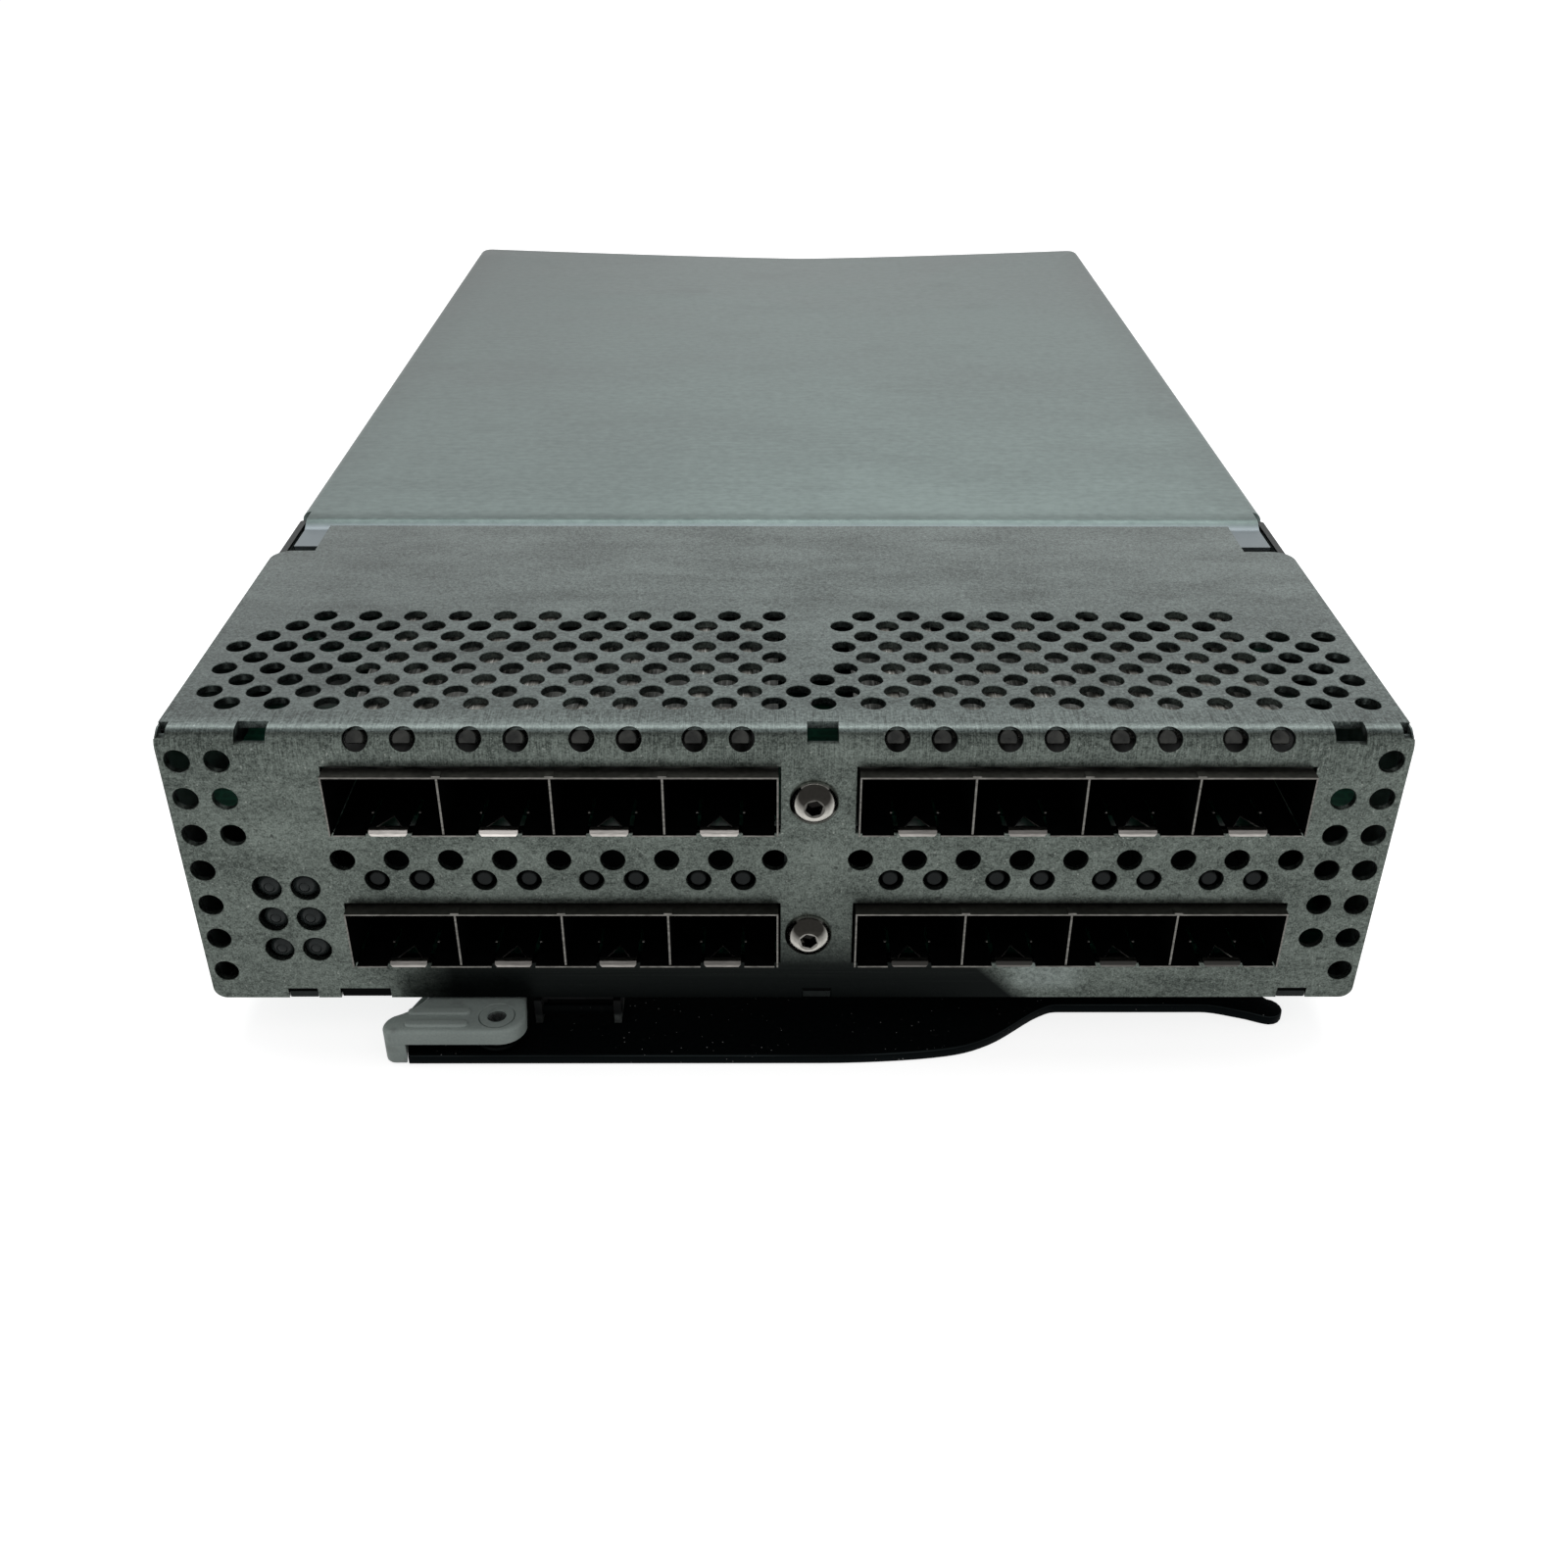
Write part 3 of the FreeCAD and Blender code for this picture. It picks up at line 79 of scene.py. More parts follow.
def plug(tree, socket, value):
    # links a socket to another one, or writes a plain value into it
    link = value.link if isinstance(value, Sock) else value
    if isinstance(link, bpy.types.NodeSocket):
        tree.links.new(link, socket)
    elif link is not None:
        socket.default_value = link


class Sock:
    # a node's output that is reckoned with like a number
    def __init__(self, tree, link):
        self.tree = tree
        self.link = link

    def math(self, kind, other, flip=False):
        node = self.tree.nodes.new("ShaderNodeMath")
        node.operation = kind
        pair = (other, self) if flip else (self, other)
        for socket, value in zip(node.inputs, pair):
            plug(self.tree, socket, value)
        return Sock(self.tree, node.outputs[0])

    def __add__(self, other):
        return self.math("ADD", other)

    def __radd__(self, other):
        return self.math("ADD", other, True)

    def __sub__(self, other):
        return self.math("SUBTRACT", other)

    def __rsub__(self, other):
        return self.math("SUBTRACT", other, True)

    def __mul__(self, other):
        return self.math("MULTIPLY", other)

    def __rmul__(self, other):
        return self.math("MULTIPLY", other, True)

    def __truediv__(self, other):
        return self.math("DIVIDE", other)

    def __gt__(self, other):
        return self.math("GREATER_THAN", other)

    def __lt__(self, other):
        return self.math("LESS_THAN", other)

    def __pow__(self, other):
        return self.math("POWER", other)

    def unsigned(self):
        return self.math("ABSOLUTE", None)

    def clamped(self):
        node = self.tree.nodes.new("ShaderNodeClamp")
        self.tree.links.new(self.link, node.inputs[0])
        return Sock(self.tree, node.outputs[0])


class Finish:
    # one material: a Principled shader and the nodes that feed it
    def __init__(self, name, **fixed):
        self.material = bpy.data.materials.new(name)
        self.material.use_nodes = True
        self.tree = self.material.node_tree
        self.tree.nodes.clear()
        self.output = self.tree.nodes.new("ShaderNodeOutputMaterial")
        self.shader = self.tree.nodes.new("ShaderNodeBsdfPrincipled")
        self.tree.links.new(self.shader.outputs[0], self.output.inputs["Surface"])
        for key, value in fixed.items():
            self.shader.inputs[key.replace("_", " ")].default_value = value
        self.place = self.node("ShaderNodeTexCoord", {}, {}, "Object")

    def node(self, kind, settings, values, out=0):
        made = self.tree.nodes.new(kind)
        for key, value in settings.items():
            if key == "stops":
                ramp = made.color_ramp
                while len(ramp.elements) < len(value):
                    ramp.elements.new(0.5)
                for stop, (where, colour) in zip(ramp.elements, value):
                    stop.position = where
                    stop.color = colour if isinstance(colour, tuple) else (colour, colour, colour, 1)
            else:
                setattr(made, key, value)
        for key, value in values.items():
            plug(self.tree, made.inputs[key], value)
        return Sock(self.tree, made.outputs[out])

    def scaled(self, factors):
        return self.node("ShaderNodeMapping", {}, {"Vector": self.place, "Scale": factors})

    def noise(self, factors, detail=2.0, rough=0.5, distortion=0.0):
        return self.node("ShaderNodeTexNoise", {},
                         {"Vector": self.scaled(factors), "Scale": 1.0, "Detail": detail, "Roughness": rough,
                          "Distortion": distortion}, "Fac")

    def evenNoise(self, factor, detail=2.0, rough=0.5):
        return self.noise((factor, factor, factor), detail, rough)

    def ramp(self, value, stops):
        return self.node("ShaderNodeValToRGB", {"stops": stops}, {"Fac": value})

    def tones(self, value, low, high, stops=(0.3, 0.7)):
        return self.ramp(value, [(stops[0], rgb(*low)), (stops[1], rgb(*high))])

    def mix(self, share, first, second, kind="MIX"):
        made = self.tree.nodes.new("ShaderNodeMix")
        made.data_type = "RGBA"
        made.blend_type = kind
        made.clamp_factor = True
        for key, value in (("Factor_Float", share), ("A_Color", first), ("B_Color", second)):
            socket = next(s for s in made.inputs if s.identifier == key)
            plug(self.tree, socket, value)
        return Sock(self.tree, next(s for s in made.outputs if s.identifier == "Result_Color"))

    def axis(self, name):
        return self.node("ShaderNodeSeparateXYZ", {}, {"Vector": self.place}, name)

    def millimetres(self):
        # the place from the face's middle, the face plane and the underside
        return self.axis("X") / mm, (self.axis("Y") - faceY) / mm, (self.axis("Z") - panZ) / mm

    def band(self, value, centre, half, soft):
        # 1 within half of the centre, falling to 0 over soft
        return ((half + soft - (value - centre).unsigned()) / soft).clamped()

    def feed(self, **sockets):
        for key, value in sockets.items():
            self.tree.links.new(value.link, self.shader.inputs[key.replace("_", " ")])

    def bump(self, height, strength, distance):
        normal = self.node("ShaderNodeBump", {},
                           {"Height": height, "Strength": strength, "Distance": distance})
        self.tree.links.new(normal.link, self.shader.inputs["Normal"])


def rgb(r, g, b):
    return (r, g, b, 1.0)


# camera, lights and floor

view = {"lens": 35.287, "sensor": 36.0, "nearest": 0.01, "pitch": 0.55966, "yaw": 0.007795, "roll": 0.004424,
        "place": (-1.50, -166.66, 139.65)}


def makeCamera():
    pitch, yaw, roll = view["pitch"], view["yaw"], view["roll"]
    forward = Vector((math.sin(yaw) * math.cos(pitch), math.cos(yaw) * math.cos(pitch), -math.sin(pitch)))
    right = Vector((math.cos(yaw), -math.sin(yaw), 0))
    upward = right.cross(forward)
    side = right * math.cos(roll) + upward * math.sin(roll)
    top = upward * math.cos(roll) - right * math.sin(roll)
    camera = bpy.data.objects.new("camera", bpy.data.cameras.new("camera"))
    camera.data.sensor_width = view["sensor"]
    camera.data.lens = view["lens"]
    camera.data.clip_start = view["nearest"]
    basis = Matrix((side, top, -forward)).transposed().to_4x4()
    basis.translation = at(*view["place"])
    camera.matrix_world = basis
    bpy.context.scene.collection.objects.link(camera)
    bpy.context.scene.camera = camera


studio = {"overheadWatts": 5.1, "overheadSize": (1.0, 0.45), "overheadPlace": (0.0, 0.15, 0.85),
          "overheadAim": (0, -0.05, 0.03), "rearWatts": 0.75, "rearSize": (1.6, 0.7),
          "rearPlace": (0.0, 1.05, 0.55), "rearAim": (0, 0, 0.04), "worldLevel": 0.50, "floorColour": 0.50,
          "floorLift": 0.80, "floorReach": 6.0}


def makeLamp(name):
    lamp = bpy.data.lights.new(name + "Softbox", "AREA")
    lamp.shape = "RECTANGLE"
    lamp.size, lamp.size_y = studio[name + "Size"]
    lamp.energy = studio[name + "Watts"]
    rig = bpy.data.objects.new(name + "Softbox", lamp)
    rig.location = studio[name + "Place"]
    rig.visible_camera = False
    aim = Vector(studio[name + "Aim"]) - Vector(studio[name + "Place"])
    rig.rotation_euler = aim.to_track_quat("-Z", "Y").to_euler()
    bpy.context.scene.collection.objects.link(rig)


def seenRays(tree):
    # rays that show the background itself, in the picture or in metal and glass
    path = tree.nodes.new("ShaderNodeLightPath")
    direct = Sock(tree, path.outputs["Is Camera Ray"])
    mirrored = direct.math("MAXIMUM", Sock(tree, path.outputs["Is Glossy Ray"]))
    return mirrored.math("MAXIMUM", Sock(tree, path.outputs["Is Transmission Ray"]))


def makeWorld():
    world = bpy.data.worlds.new("studioWorld")
    bpy.context.scene.world = world
    world.use_nodes = True
    tree = world.node_tree
    tree.nodes.clear()
    strength = seenRays(tree) * (1.0 - studio["worldLevel"]) + studio["worldLevel"]
    back = tree.nodes.new("ShaderNodeBackground")
    back.inputs["Color"].default_value = rgb(1, 1, 1)
    tree.links.new(strength.link, back.inputs["Strength"])
    out = tree.nodes.new("ShaderNodeOutputWorld")
    tree.links.new(back.outputs[0], out.inputs["Surface"])


def makeFloor():
    mesh = bpy.data.meshes.new("studioFloor")
    reach = studio["floorReach"]
    mesh.from_pydata([(-reach, -reach, 0), (reach, -reach, 0), (reach, reach, 0), (-reach, reach, 0)], [],
                     [(0, 1, 2, 3)])
    floor = bpy.data.objects.new("studioFloor", mesh)
    bpy.context.scene.collection.objects.link(floor)
    paint = bpy.data.materials.new("floorPaint")
    paint.use_nodes = True
    tree = paint.node_tree
    tree.nodes.clear()
    matt = tree.nodes.new("ShaderNodeBsdfDiffuse")
    matt.inputs["Color"].default_value = rgb(*[studio["floorColour"]] * 3)
    glow = tree.nodes.new("ShaderNodeEmission")
    tree.links.new((seenRays(tree) * studio["floorLift"]).link, glow.inputs["Strength"])
    both = tree.nodes.new("ShaderNodeAddShader")
    tree.links.new(matt.outputs[0], both.inputs[0])
    tree.links.new(glow.outputs[0], both.inputs[1])
    out = tree.nodes.new("ShaderNodeOutputMaterial")
    tree.links.new(both.outputs[0], out.inputs["Surface"])
    mesh.materials.append(paint)


makeCamera()
for lampName in ("overhead", "rear"):
    makeLamp(lampName)
makeWorld()
makeFloor()
bpy.context.scene.view_settings.view_transform = "Standard"
print("camera and studio ready")


# places on the front that the finishes and the pieces share, in millimetres

panelScrews = {"x": 3.5, "z": (11.1, 32.5), "aside": (-0.3, 0.2), "turn": (0.25, 0.8), "radius": 3.2,
               "height": 1.75, "socket": 2.0, "socketDepth": 1.1}
ports = {"pitch": 14.25, "count": 4, "leftStart": -58.4, "rightStart": 9.96, "lowerZ": 6.55, "upperZ": 28.05,
         "height": 9.3, "depth": 46.0, "protrusion": 1.9, "sideGap": 0.25, "endGap": 0.4}
footSlots = ((-67.1, 4.1), (-58.4, 7.0), (4.5, 4.1), (71.0, 4.1))       # along the face's foot: middle, width


# finishes; a band is given by its middle, half its width and its fade, in millimetres

zinc = {"metal": 0.92, "rough": 0.34, "dark": (0.036, 0.045, 0.042), "light": (0.152, 0.182, 0.173),
        "speck": (0.30, 0.33, 0.32), "pit": (0.02, 0.024, 0.023), "paintedHighlight": (0.34, 0.39, 0.375),
        "shadow": (0.0020, 0.0032, 0.0030), "faceTint": (0.985, 0.955, 0.905), "faceDepth": 1.05,
        "foldHeight": 7.5, "foldDepth": 6.0, "hoodFrom": 4.0, "hoodShade": 0.04,
        "leftFrom": -10.0, "leftRun": 55.0, "leftShade": 0.17,
        "crown": (2.05, 0.2, 0.7), "crownDrop": 1.3, "crownShare": 0.22,
        "bend": (1.15, 0.25, 0.5), "bendDrop": 2.5, "bendShare": 0.66,
        "footLeft": -57.0, "footRight": 35.5, "footHeight": 24.0,
        "footStops": ((0.03, 1.0), (0.24, 0.955), (0.31, 0.72), (0.42, 0.42), (0.62, 0.20), (0.97, 0.0)),
        "glowAcross": (36.0, 2.5, 4.0), "glowUp": (4.2, 1.4, 2.0), "glowShare": 0.55}


def makeZinc():
    # spangled coating: mottling, fine grain, streaks drawn over the fold, few bright and dark specks
    f = Finish("galvanisedSheet", Metallic=zinc["metal"])
    broad = f.noise((70, 190, 190), 3.0, 0.6)
    spangle = f.noise((1350, 1900, 1750), 3.0, 0.62)
    fine = f.evenNoise(3900, 2.0, 0.65)
    drawn = f.noise((7000, 260, 420), 2.0, 0.6)
    x, y, z = f.millimetres()
    onFace, onHood = y < zinc["faceDepth"], y > zinc["hoodFrom"]
    nearFold = ((z - (caseTop - zinc["foldHeight"])) / 5.0).clamped() * (y < zinc["foldDepth"])
    tone = broad * 0.22 + spangle * 0.33 + fine * 0.45
    tone = tone + (drawn - 0.5) * nearFold * 0.34
    tone = f.tones(tone, zinc["dark"], zinc["light"], (0.40, 0.61))
    specks = f.evenNoise(2600, 1.0, 0.4) > 0.74
    tone = f.mix(specks * 0.45, tone, rgb(*zinc["speck"]))
    pits = f.evenNoise(800, 1.0, 0.4) < 0.235
    tone = f.mix(pits * 0.6, tone, rgb(*zinc["pit"]))
    # painted shade: the hood is darker than the face, and more so to the left
    toLeft = ((zinc["leftFrom"] - x) / zinc["leftRun"]).clamped() * onHood
    tone = f.mix(toLeft * zinc["leftShade"] + onHood * zinc["hoodShade"], tone, rgb(*zinc["shadow"]))
    # painted highlight along the crown of the fold, over a painted shade where the sheet turns down
    crown = f.band(y, *zinc["crown"]) * (z > caseTop - zinc["crownDrop"])
    tone = f.mix(crown * zinc["crownShare"], tone, rgb(*zinc["paintedHighlight"]))
    bend = f.band(y, *zinc["bend"]) * (z > caseTop - zinc["bendDrop"])
    tone = f.mix(bend * zinc["bendShare"], tone, rgb(*zinc["shadow"]))
    tone = f.mix(onFace, tone, rgb(*zinc["faceTint"]), "MULTIPLY")
    # painted shade and reflection of the black lever darken the foot of the face above it, but for a painted
    # highlight patch at the lever's curve
    streaks = f.noise((60, 60, 9000), 2.0, 0.5)
    width = ((x - zinc["footLeft"]) / 11.0).clamped() * ((zinc["footRight"] - z - x) / 4.0).clamped()
    rise = f.ramp(z / zinc["footHeight"], zinc["footStops"])
    foot = (width * rise * (streaks * 0.10 + 0.97)).clamped() * onFace
    glow = f.band(x, *zinc["glowAcross"]) * f.band(z, *zinc["glowUp"]) * onFace
    tone = f.mix(glow * spangle * zinc["glowShare"], tone, rgb(*zinc["paintedHighlight"]))
    tone = f.mix(foot, tone, rgb(*zinc["shadow"]))
    fold = f.band(z, caseTop, 2.0, 1.0) * (y < 3.0)
    rough = spangle * 0.24 + (zinc["rough"] - 0.12) + specks * -0.08 + fold * 0.10
    f.feed(Base_Color=tone, Roughness=rough)
    f.bump(spangle * 0.5 + fine * 0.5, 0.10, 0.00005)
    return f.material


cover = {"edge": 1.6, "corner": 3.2, "flangeStart": 72.9, "foot": 1.6, "lipDrop": 7.0, "lipFront": 61.2,
         "joggleStart": 67.5, "joggleEnd": 70.1, "lipLow": 1.15, "dipDepth": 2.3, "dipCentre": 6.0,
         "dipStart": 132.0, "screwRows": (105.0, 215.0), "screwZ": 27.0, "screwSeat": 2.85,
         "acrossSteps": 28, "dipSteps": 14, "joggleSteps": 8}
coverZinc = {"metal": 0.85, "rough": 0.42, "low": (0.108, 0.144, 0.137), "high": (0.178, 0.228, 0.217),
             "blotch": (0.085, 0.108, 0.104), "shadow": (0.01, 0.013, 0.013), "lip": (0.156, 0.178, 0.192),
             "rearShade": 0.45, "sideShade": 0.13, "sideWidth": 9.0, "leftShade": 0.15, "creaseShade": 0.30,
             "lipShare": 0.85}


def makeCoverZinc():
    # smoother coating of the rear cover: cloudy stains, faint rolling lines, and painted shade to the rear
    # and the sides
    f = Finish("coverSheet", Metallic=coverZinc["metal"])
    cloud = f.noise((14, 22, 22), 4.0, 0.62, 0.6)
    grain = f.noise((620, 900, 900), 3.0, 0.6)
    rolled = f.noise((60, 2600, 60), 2.0, 0.5)
    tone = f.tones(cloud * 0.46 + grain * 0.36 + rolled * 0.18, coverZinc["low"], coverZinc["high"],
                   (0.38, 0.60))
    stain = f.noise((38, 60, 60), 3.0, 0.55)
    tone = f.mix(f.ramp(stain, [(0.58, 0.0), (0.70, 1.0)]) * 0.25, tone, rgb(*coverZinc["blotch"]))
    x, y, z = f.millimetres()
    onTop = z > caseTop - cover["lipDrop"]
    toRear = ((y - cover["joggleEnd"]) / (caseDepth - cover["joggleEnd"])).clamped() ** 0.7
    toSide = ((x.unsigned() - (caseHalf - coverZinc["sideWidth"])) / 7.5).clamped()
    toLeft = ((zinc["leftFrom"] - x) / zinc["leftRun"]).clamped()
    # painted shade: darker to the rear, the sides and the left, and in the crease behind the joggle
    shade = toRear * coverZinc["rearShade"] + toSide * coverZinc["sideShade"]
    shade = (shade + toLeft * coverZinc["leftShade"]) * onTop
    crease = f.band(y, cover["joggleEnd"] - 0.2, 0.8, 2.4) * onTop
    tone = f.mix((shade + crease * coverZinc["creaseShade"]).clamped(), tone, rgb(*coverZinc["shadow"]))
    # the lip under the hood's edge is given a lighter, bluer tone
    lip = ((cover["joggleEnd"] - 0.9 - y) / 0.9).clamped() * onTop
    tone = f.mix(lip * coverZinc["lipShare"], tone, rgb(*coverZinc["lip"]))
    f.feed(Base_Color=tone, Roughness=cloud * 0.18 + coverZinc["rough"] - 0.09)
    f.bump(grain, 0.06, 0.00004)
    return f.material


panZinc = {"metal": 0.9, "rough": 0.33, "low": (0.085, 0.104, 0.099), "high": (0.175, 0.210, 0.200),
           "edge": (0.004, 0.005, 0.005), "edgeDepth": 1.3, "wallTop": 41.2}


def makePanZinc():
    f = Finish("panSheet", Metallic=panZinc["metal"])
    broad = f.noise((90, 140, 140), 3.0, 0.6)
    grain = f.evenNoise(1000, 3.0, 0.65)
    tone = f.tones(broad * 0.5 + grain * 0.5, panZinc["low"], panZinc["high"], (0.38, 0.62))
    # painted shade: the cut edges behind the face and along the wall tops are dark
    z, y = f.axis("Z"), f.axis("Y")
    edges = (y < faceY + panZinc["edgeDepth"] * mm) + (z > panZ + panZinc["wallTop"] * mm)
    tone = f.mix(edges.clamped() * 0.93, tone, rgb(*panZinc["edge"]))
    f.feed(Base_Color=tone, Roughness=grain * 0.2 + panZinc["rough"])
    f.bump(grain, 0.08, 0.00004)
    return f.material


cageSheet = {"metal": 0.85, "rough": 0.28, "low": (0.032, 0.031, 0.027), "high": (0.078, 0.076, 0.067)}


def makeCageMetal():
    # nickel at the mouths of the ports, in a dark tone that is painted shade
    f = Finish("cageNickel", Metallic=cageSheet["metal"])
    grain = f.noise((1500, 1500, 4000), 2.0, 0.6)
    stain = f.noise((120, 200, 200), 3.0, 0.6)
    tone = f.tones(grain * 0.4 + stain * 0.6, cageSheet["low"], cageSheet["high"], (0.35, 0.65))
    f.feed(Base_Color=tone, Roughness=grain * 0.2 + cageSheet["rough"])
    return f.material


def makeSlotShadeEdge():
    # painted shade in the foot slots, shaped as the pan's edge, with a thin bright line at the left
    f = Finish("darkEdge", Specular_IOR_Level=0.03)
    grain = f.evenNoise(1500)
    tone = f.tones(grain, (0.0008, 0.001, 0.001), (0.002, 0.0024, 0.0024))
    x, y, z = f.millimetres()
    tone = f.mix(f.band(z, 0.55, 0.12, 0.08) * (x < -64.0) * 0.8, tone, rgb(0.10, 0.11, 0.105))
    f.feed(Base_Color=tone, Roughness=grain * 0.2 + 0.5)
    return f.material


cageRoof = {"metal": 0.45, "rough": 0.25, "dull": (0.135, 0.138, 0.130), "pale": (0.26, 0.265, 0.25),
            "scratchGlint": (0.58, 0.585, 0.56), "dark": (0.001, 0.001, 0.001), "shadeUntil": 14.6}


def makeCageRoof():
    # roofs seen through the perforations: lighter than the nickel at the mouths, as painted light, with
    # scratches and painted glints from front to rear, and painted shade just behind the face
    f = Finish("cageRoof", Metallic=cageRoof["metal"])
    scratchesAndGlints = f.noise((2600, 90, 400), 3.0, 0.65)
    tone = f.ramp(scratchesAndGlints, [(0.40, rgb(*cageRoof["dull"])), (0.56, rgb(*cageRoof["pale"])),
                              (0.66, rgb(*cageRoof["scratchGlint"]))])
    x, y, z = f.millimetres()
    tone = f.mix(((cageRoof["shadeUntil"] - y) / 1.2).clamped() * 0.96, tone, rgb(*cageRoof["dark"]))
    f.feed(Base_Color=tone, Roughness=scratchesAndGlints * 0.2 + cageRoof["rough"])
    return f.material


tongueTip = {"metal": 0.95, "rough": 0.22, "low": (0.36, 0.34, 0.32), "high": (0.78, 0.74, 0.70),
             "dull": (0.03, 0.029, 0.027), "lowerDull": 0.46, "rightDull": 0.40, "upperFrom": 15.0,
             "frontLine": (0.95, 0.10, 0.25), "frontDull": 0.35}


def makeTongueTip():
    # bright tongue tips, darker in the lower row, at the right and along a line near the front
    f = Finish("tongueTip", Metallic=tongueTip["metal"])
    grain = f.noise((700, 2500, 4500), 2.0, 0.6)
    wear = f.noise((45, 45, 90), 2.0, 0.5)
    tone = f.tones(grain * 0.35 + wear * 0.65, tongueTip["low"], tongueTip["high"], (0.40, 0.62))
    x, y, z = f.millimetres()
    dull = (z < tongueTip["upperFrom"]) * tongueTip["lowerDull"] + (x > 0.0) * tongueTip["rightDull"]
    above = z - (z > tongueTip["upperFrom"]) * (ports["upperZ"] - ports["lowerZ"])
    rise, half, fade = tongueTip["frontLine"]
    front = f.band(above, ports["lowerZ"] + rise, half, fade)
    tone = f.mix((dull + front * tongueTip["frontDull"]).clamped(), tone, rgb(*tongueTip["dull"]))
    f.feed(Base_Color=tone, Roughness=grain * 0.2 + tongueTip["rough"])
    return f.material


polished = {"rough": 0.10, "low": (0.40, 0.39, 0.36), "high": (0.52, 0.51, 0.47),
            "dark": (0.010, 0.009, 0.0075), "rim": (0.12, 0.115, 0.10), "socketShade": (0.006, 0.0055, 0.005),
            "socketRadius": 1.22, "socketDepth": 1.66, "land": 1.38, "domeFlatness": 0.664,
            "out": (0.792, 0.841), "up": (0.354, 0.313)}      # lean of the dark side, lower and upper head


def makePolished():
    # bright button heads with a painted reflection: the dark end of a room that they would mirror is laid on
    # the dome's upper side
    f = Finish("polishedSteel", Metallic=1.0)
    grain = f.evenNoise(2500)
    tone = f.tones(grain, polished["low"], polished["high"])
    x, y, z = f.millimetres()
    lowZ, highZ = panelScrews["z"]
    upper = z > (lowZ + highZ) / 2

    def perHead(pair):
        return upper * (pair[1] - pair[0]) + pair[0]

    across = x - (perHead(panelScrews["aside"]) + panelScrews["x"])
    rise = z - perHead(panelScrews["z"])
    spread = across * across + rise * rise
    dome = (panelScrews["radius"] ** 2 - spread).math("MAXIMUM", 0.0) ** 0.5
    slope = (panelScrews["radius"] ** 2 - spread * polished["domeFlatness"]).math("MAXIMUM", 0.05) ** 0.5
    away = 1.0 - (dome * perHead(polished["out"]) + rise * perHead(polished["up"])) / slope
    # the flat land round each socket has one tone
    onLand = spread < polished["land"] ** 2
    away = away + onLand * (1.0 - perHead(polished["out"]) - away)
    dark = f.ramp(away, [(0.0, 1.0), (0.13, 1.0), (0.21, 0.6), (0.33, 0.0)])
    tone = f.mix(dark * 0.97, tone, rgb(*polished["dark"]))
    # painted reflection: a darker ring where the dome turns away
    rim = f.ramp(away, [(0.42, 0.0), (0.72, 1.0)])
    tone = f.mix(rim * 0.5, tone, rgb(*polished["rim"]))
    # painted shade: the sockets are dark inside
    aside = x - panelScrews["x"]
    inSocket = aside * aside + rise * rise < polished["socketRadius"] ** 2
    inside = inSocket * (y > -polished["socketDepth"])
    tone = f.mix(inside * 0.97, tone, rgb(*polished["socketShade"]))
    f.feed(Base_Color=tone, Roughness=grain * 0.08 + polished["rough"])
    return f.material


# finishes of one tone broken up by a grain, which also spreads the gloss
grained = {
    # painted highlight: a lighter copy of the cage nickel for the cages' cut edges, springs and dimples
    "cageEdge": {"name": "cageEdge", "grain": (900, 900, 3000), "breakup": 0.6, "low": (0.085, 0.082, 0.075),
                 "high": (0.20, 0.195, 0.18), "rough": 0.25, "spread": 0.15, "Metallic": 0.9},
    # painted shade: the insides of the cages are near black
    "cageInside": {"name": "cageInside", "grain": (400, 900, 900), "breakup": 0.6,
                   "low": (0.0004, 0.0005, 0.0005), "high": (0.0014, 0.0016, 0.0016), "rough": 0.4,
                   "spread": 0.3, "Specular_IOR_Level": 0.03},
    "screw_steel": {"name": "platedSteel", "grain": (1800, 1800, 1800), "detail": 3.0, "breakup": 0.6,
                    "low": (0.15, 0.16, 0.155), "high": (0.27, 0.285, 0.28), "rough": 0.2, "spread": 0.25,
                    "Metallic": 0.95},
    "post_brass": {"name": "postBrass", "grain": (1500, 1500, 5000), "low": (0.42, 0.31, 0.13),
                   "high": (0.58, 0.44, 0.2), "rough": 0.22, "Metallic": 1.0},
    "heatsink_aluminium": {"name": "sinkAluminium", "grain": (3000, 120, 3000), "low": (0.5, 0.51, 0.52),
                           "high": (0.68, 0.69, 0.70), "rough": 0.28, "Metallic": 1.0},
    "connector_black": {"name": "connectorPlastic", "grain": (2600, 2600, 2600), "low": (0.006, 0.006, 0.007),
                        "high": (0.014, 0.014, 0.015), "rough": 0.35, "bumped": True,
                        "Specular_IOR_Level": 0.3},
    "chip_black": {"name": "chipPlastic", "grain": (2600, 2600, 2600), "low": (0.012, 0.012, 0.013),
                   "high": (0.022, 0.022, 0.023), "rough": 0.45, "bumped": True, "Specular_IOR_Level": 0.3},
    "statusLens": {"name": "statusLens", "grain": (700, 700, 700), "low": (0.013, 0.017, 0.017),
                   "high": (0.026, 0.032, 0.032), "rough": 0.20, "spread": 0.12, "Specular_IOR_Level": 0.16},
    "darkPipe": {"name": "darkPipe", "grain": (900, 900, 900), "low": (0.009, 0.011, 0.011),
                 "high": (0.016, 0.019, 0.019), "rough": 0.5, "Specular_IOR_Level": 0.15},
    "blackSteel": {"name": "blackSteel", "grain": (2200, 2200, 2200), "low": (0.13, 0.14, 0.138),
                   "high": (0.32, 0.34, 0.335), "rough": 0.12, "spread": 0.15, "Metallic": 0.8},
}


def makeGrained(name, grain, low, high, rough, spread=0.2, detail=2.0, breakup=0.5, bumped=False, **fixed):
    f = Finish(name, **fixed)
    cloud = f.noise(grain, detail, breakup)
    f.feed(Base_Color=f.tones(cloud, low, high), Roughness=cloud * spread + rough)
    if bumped:
        f.bump(cloud, 0.08, 0.00003)
    return f.material


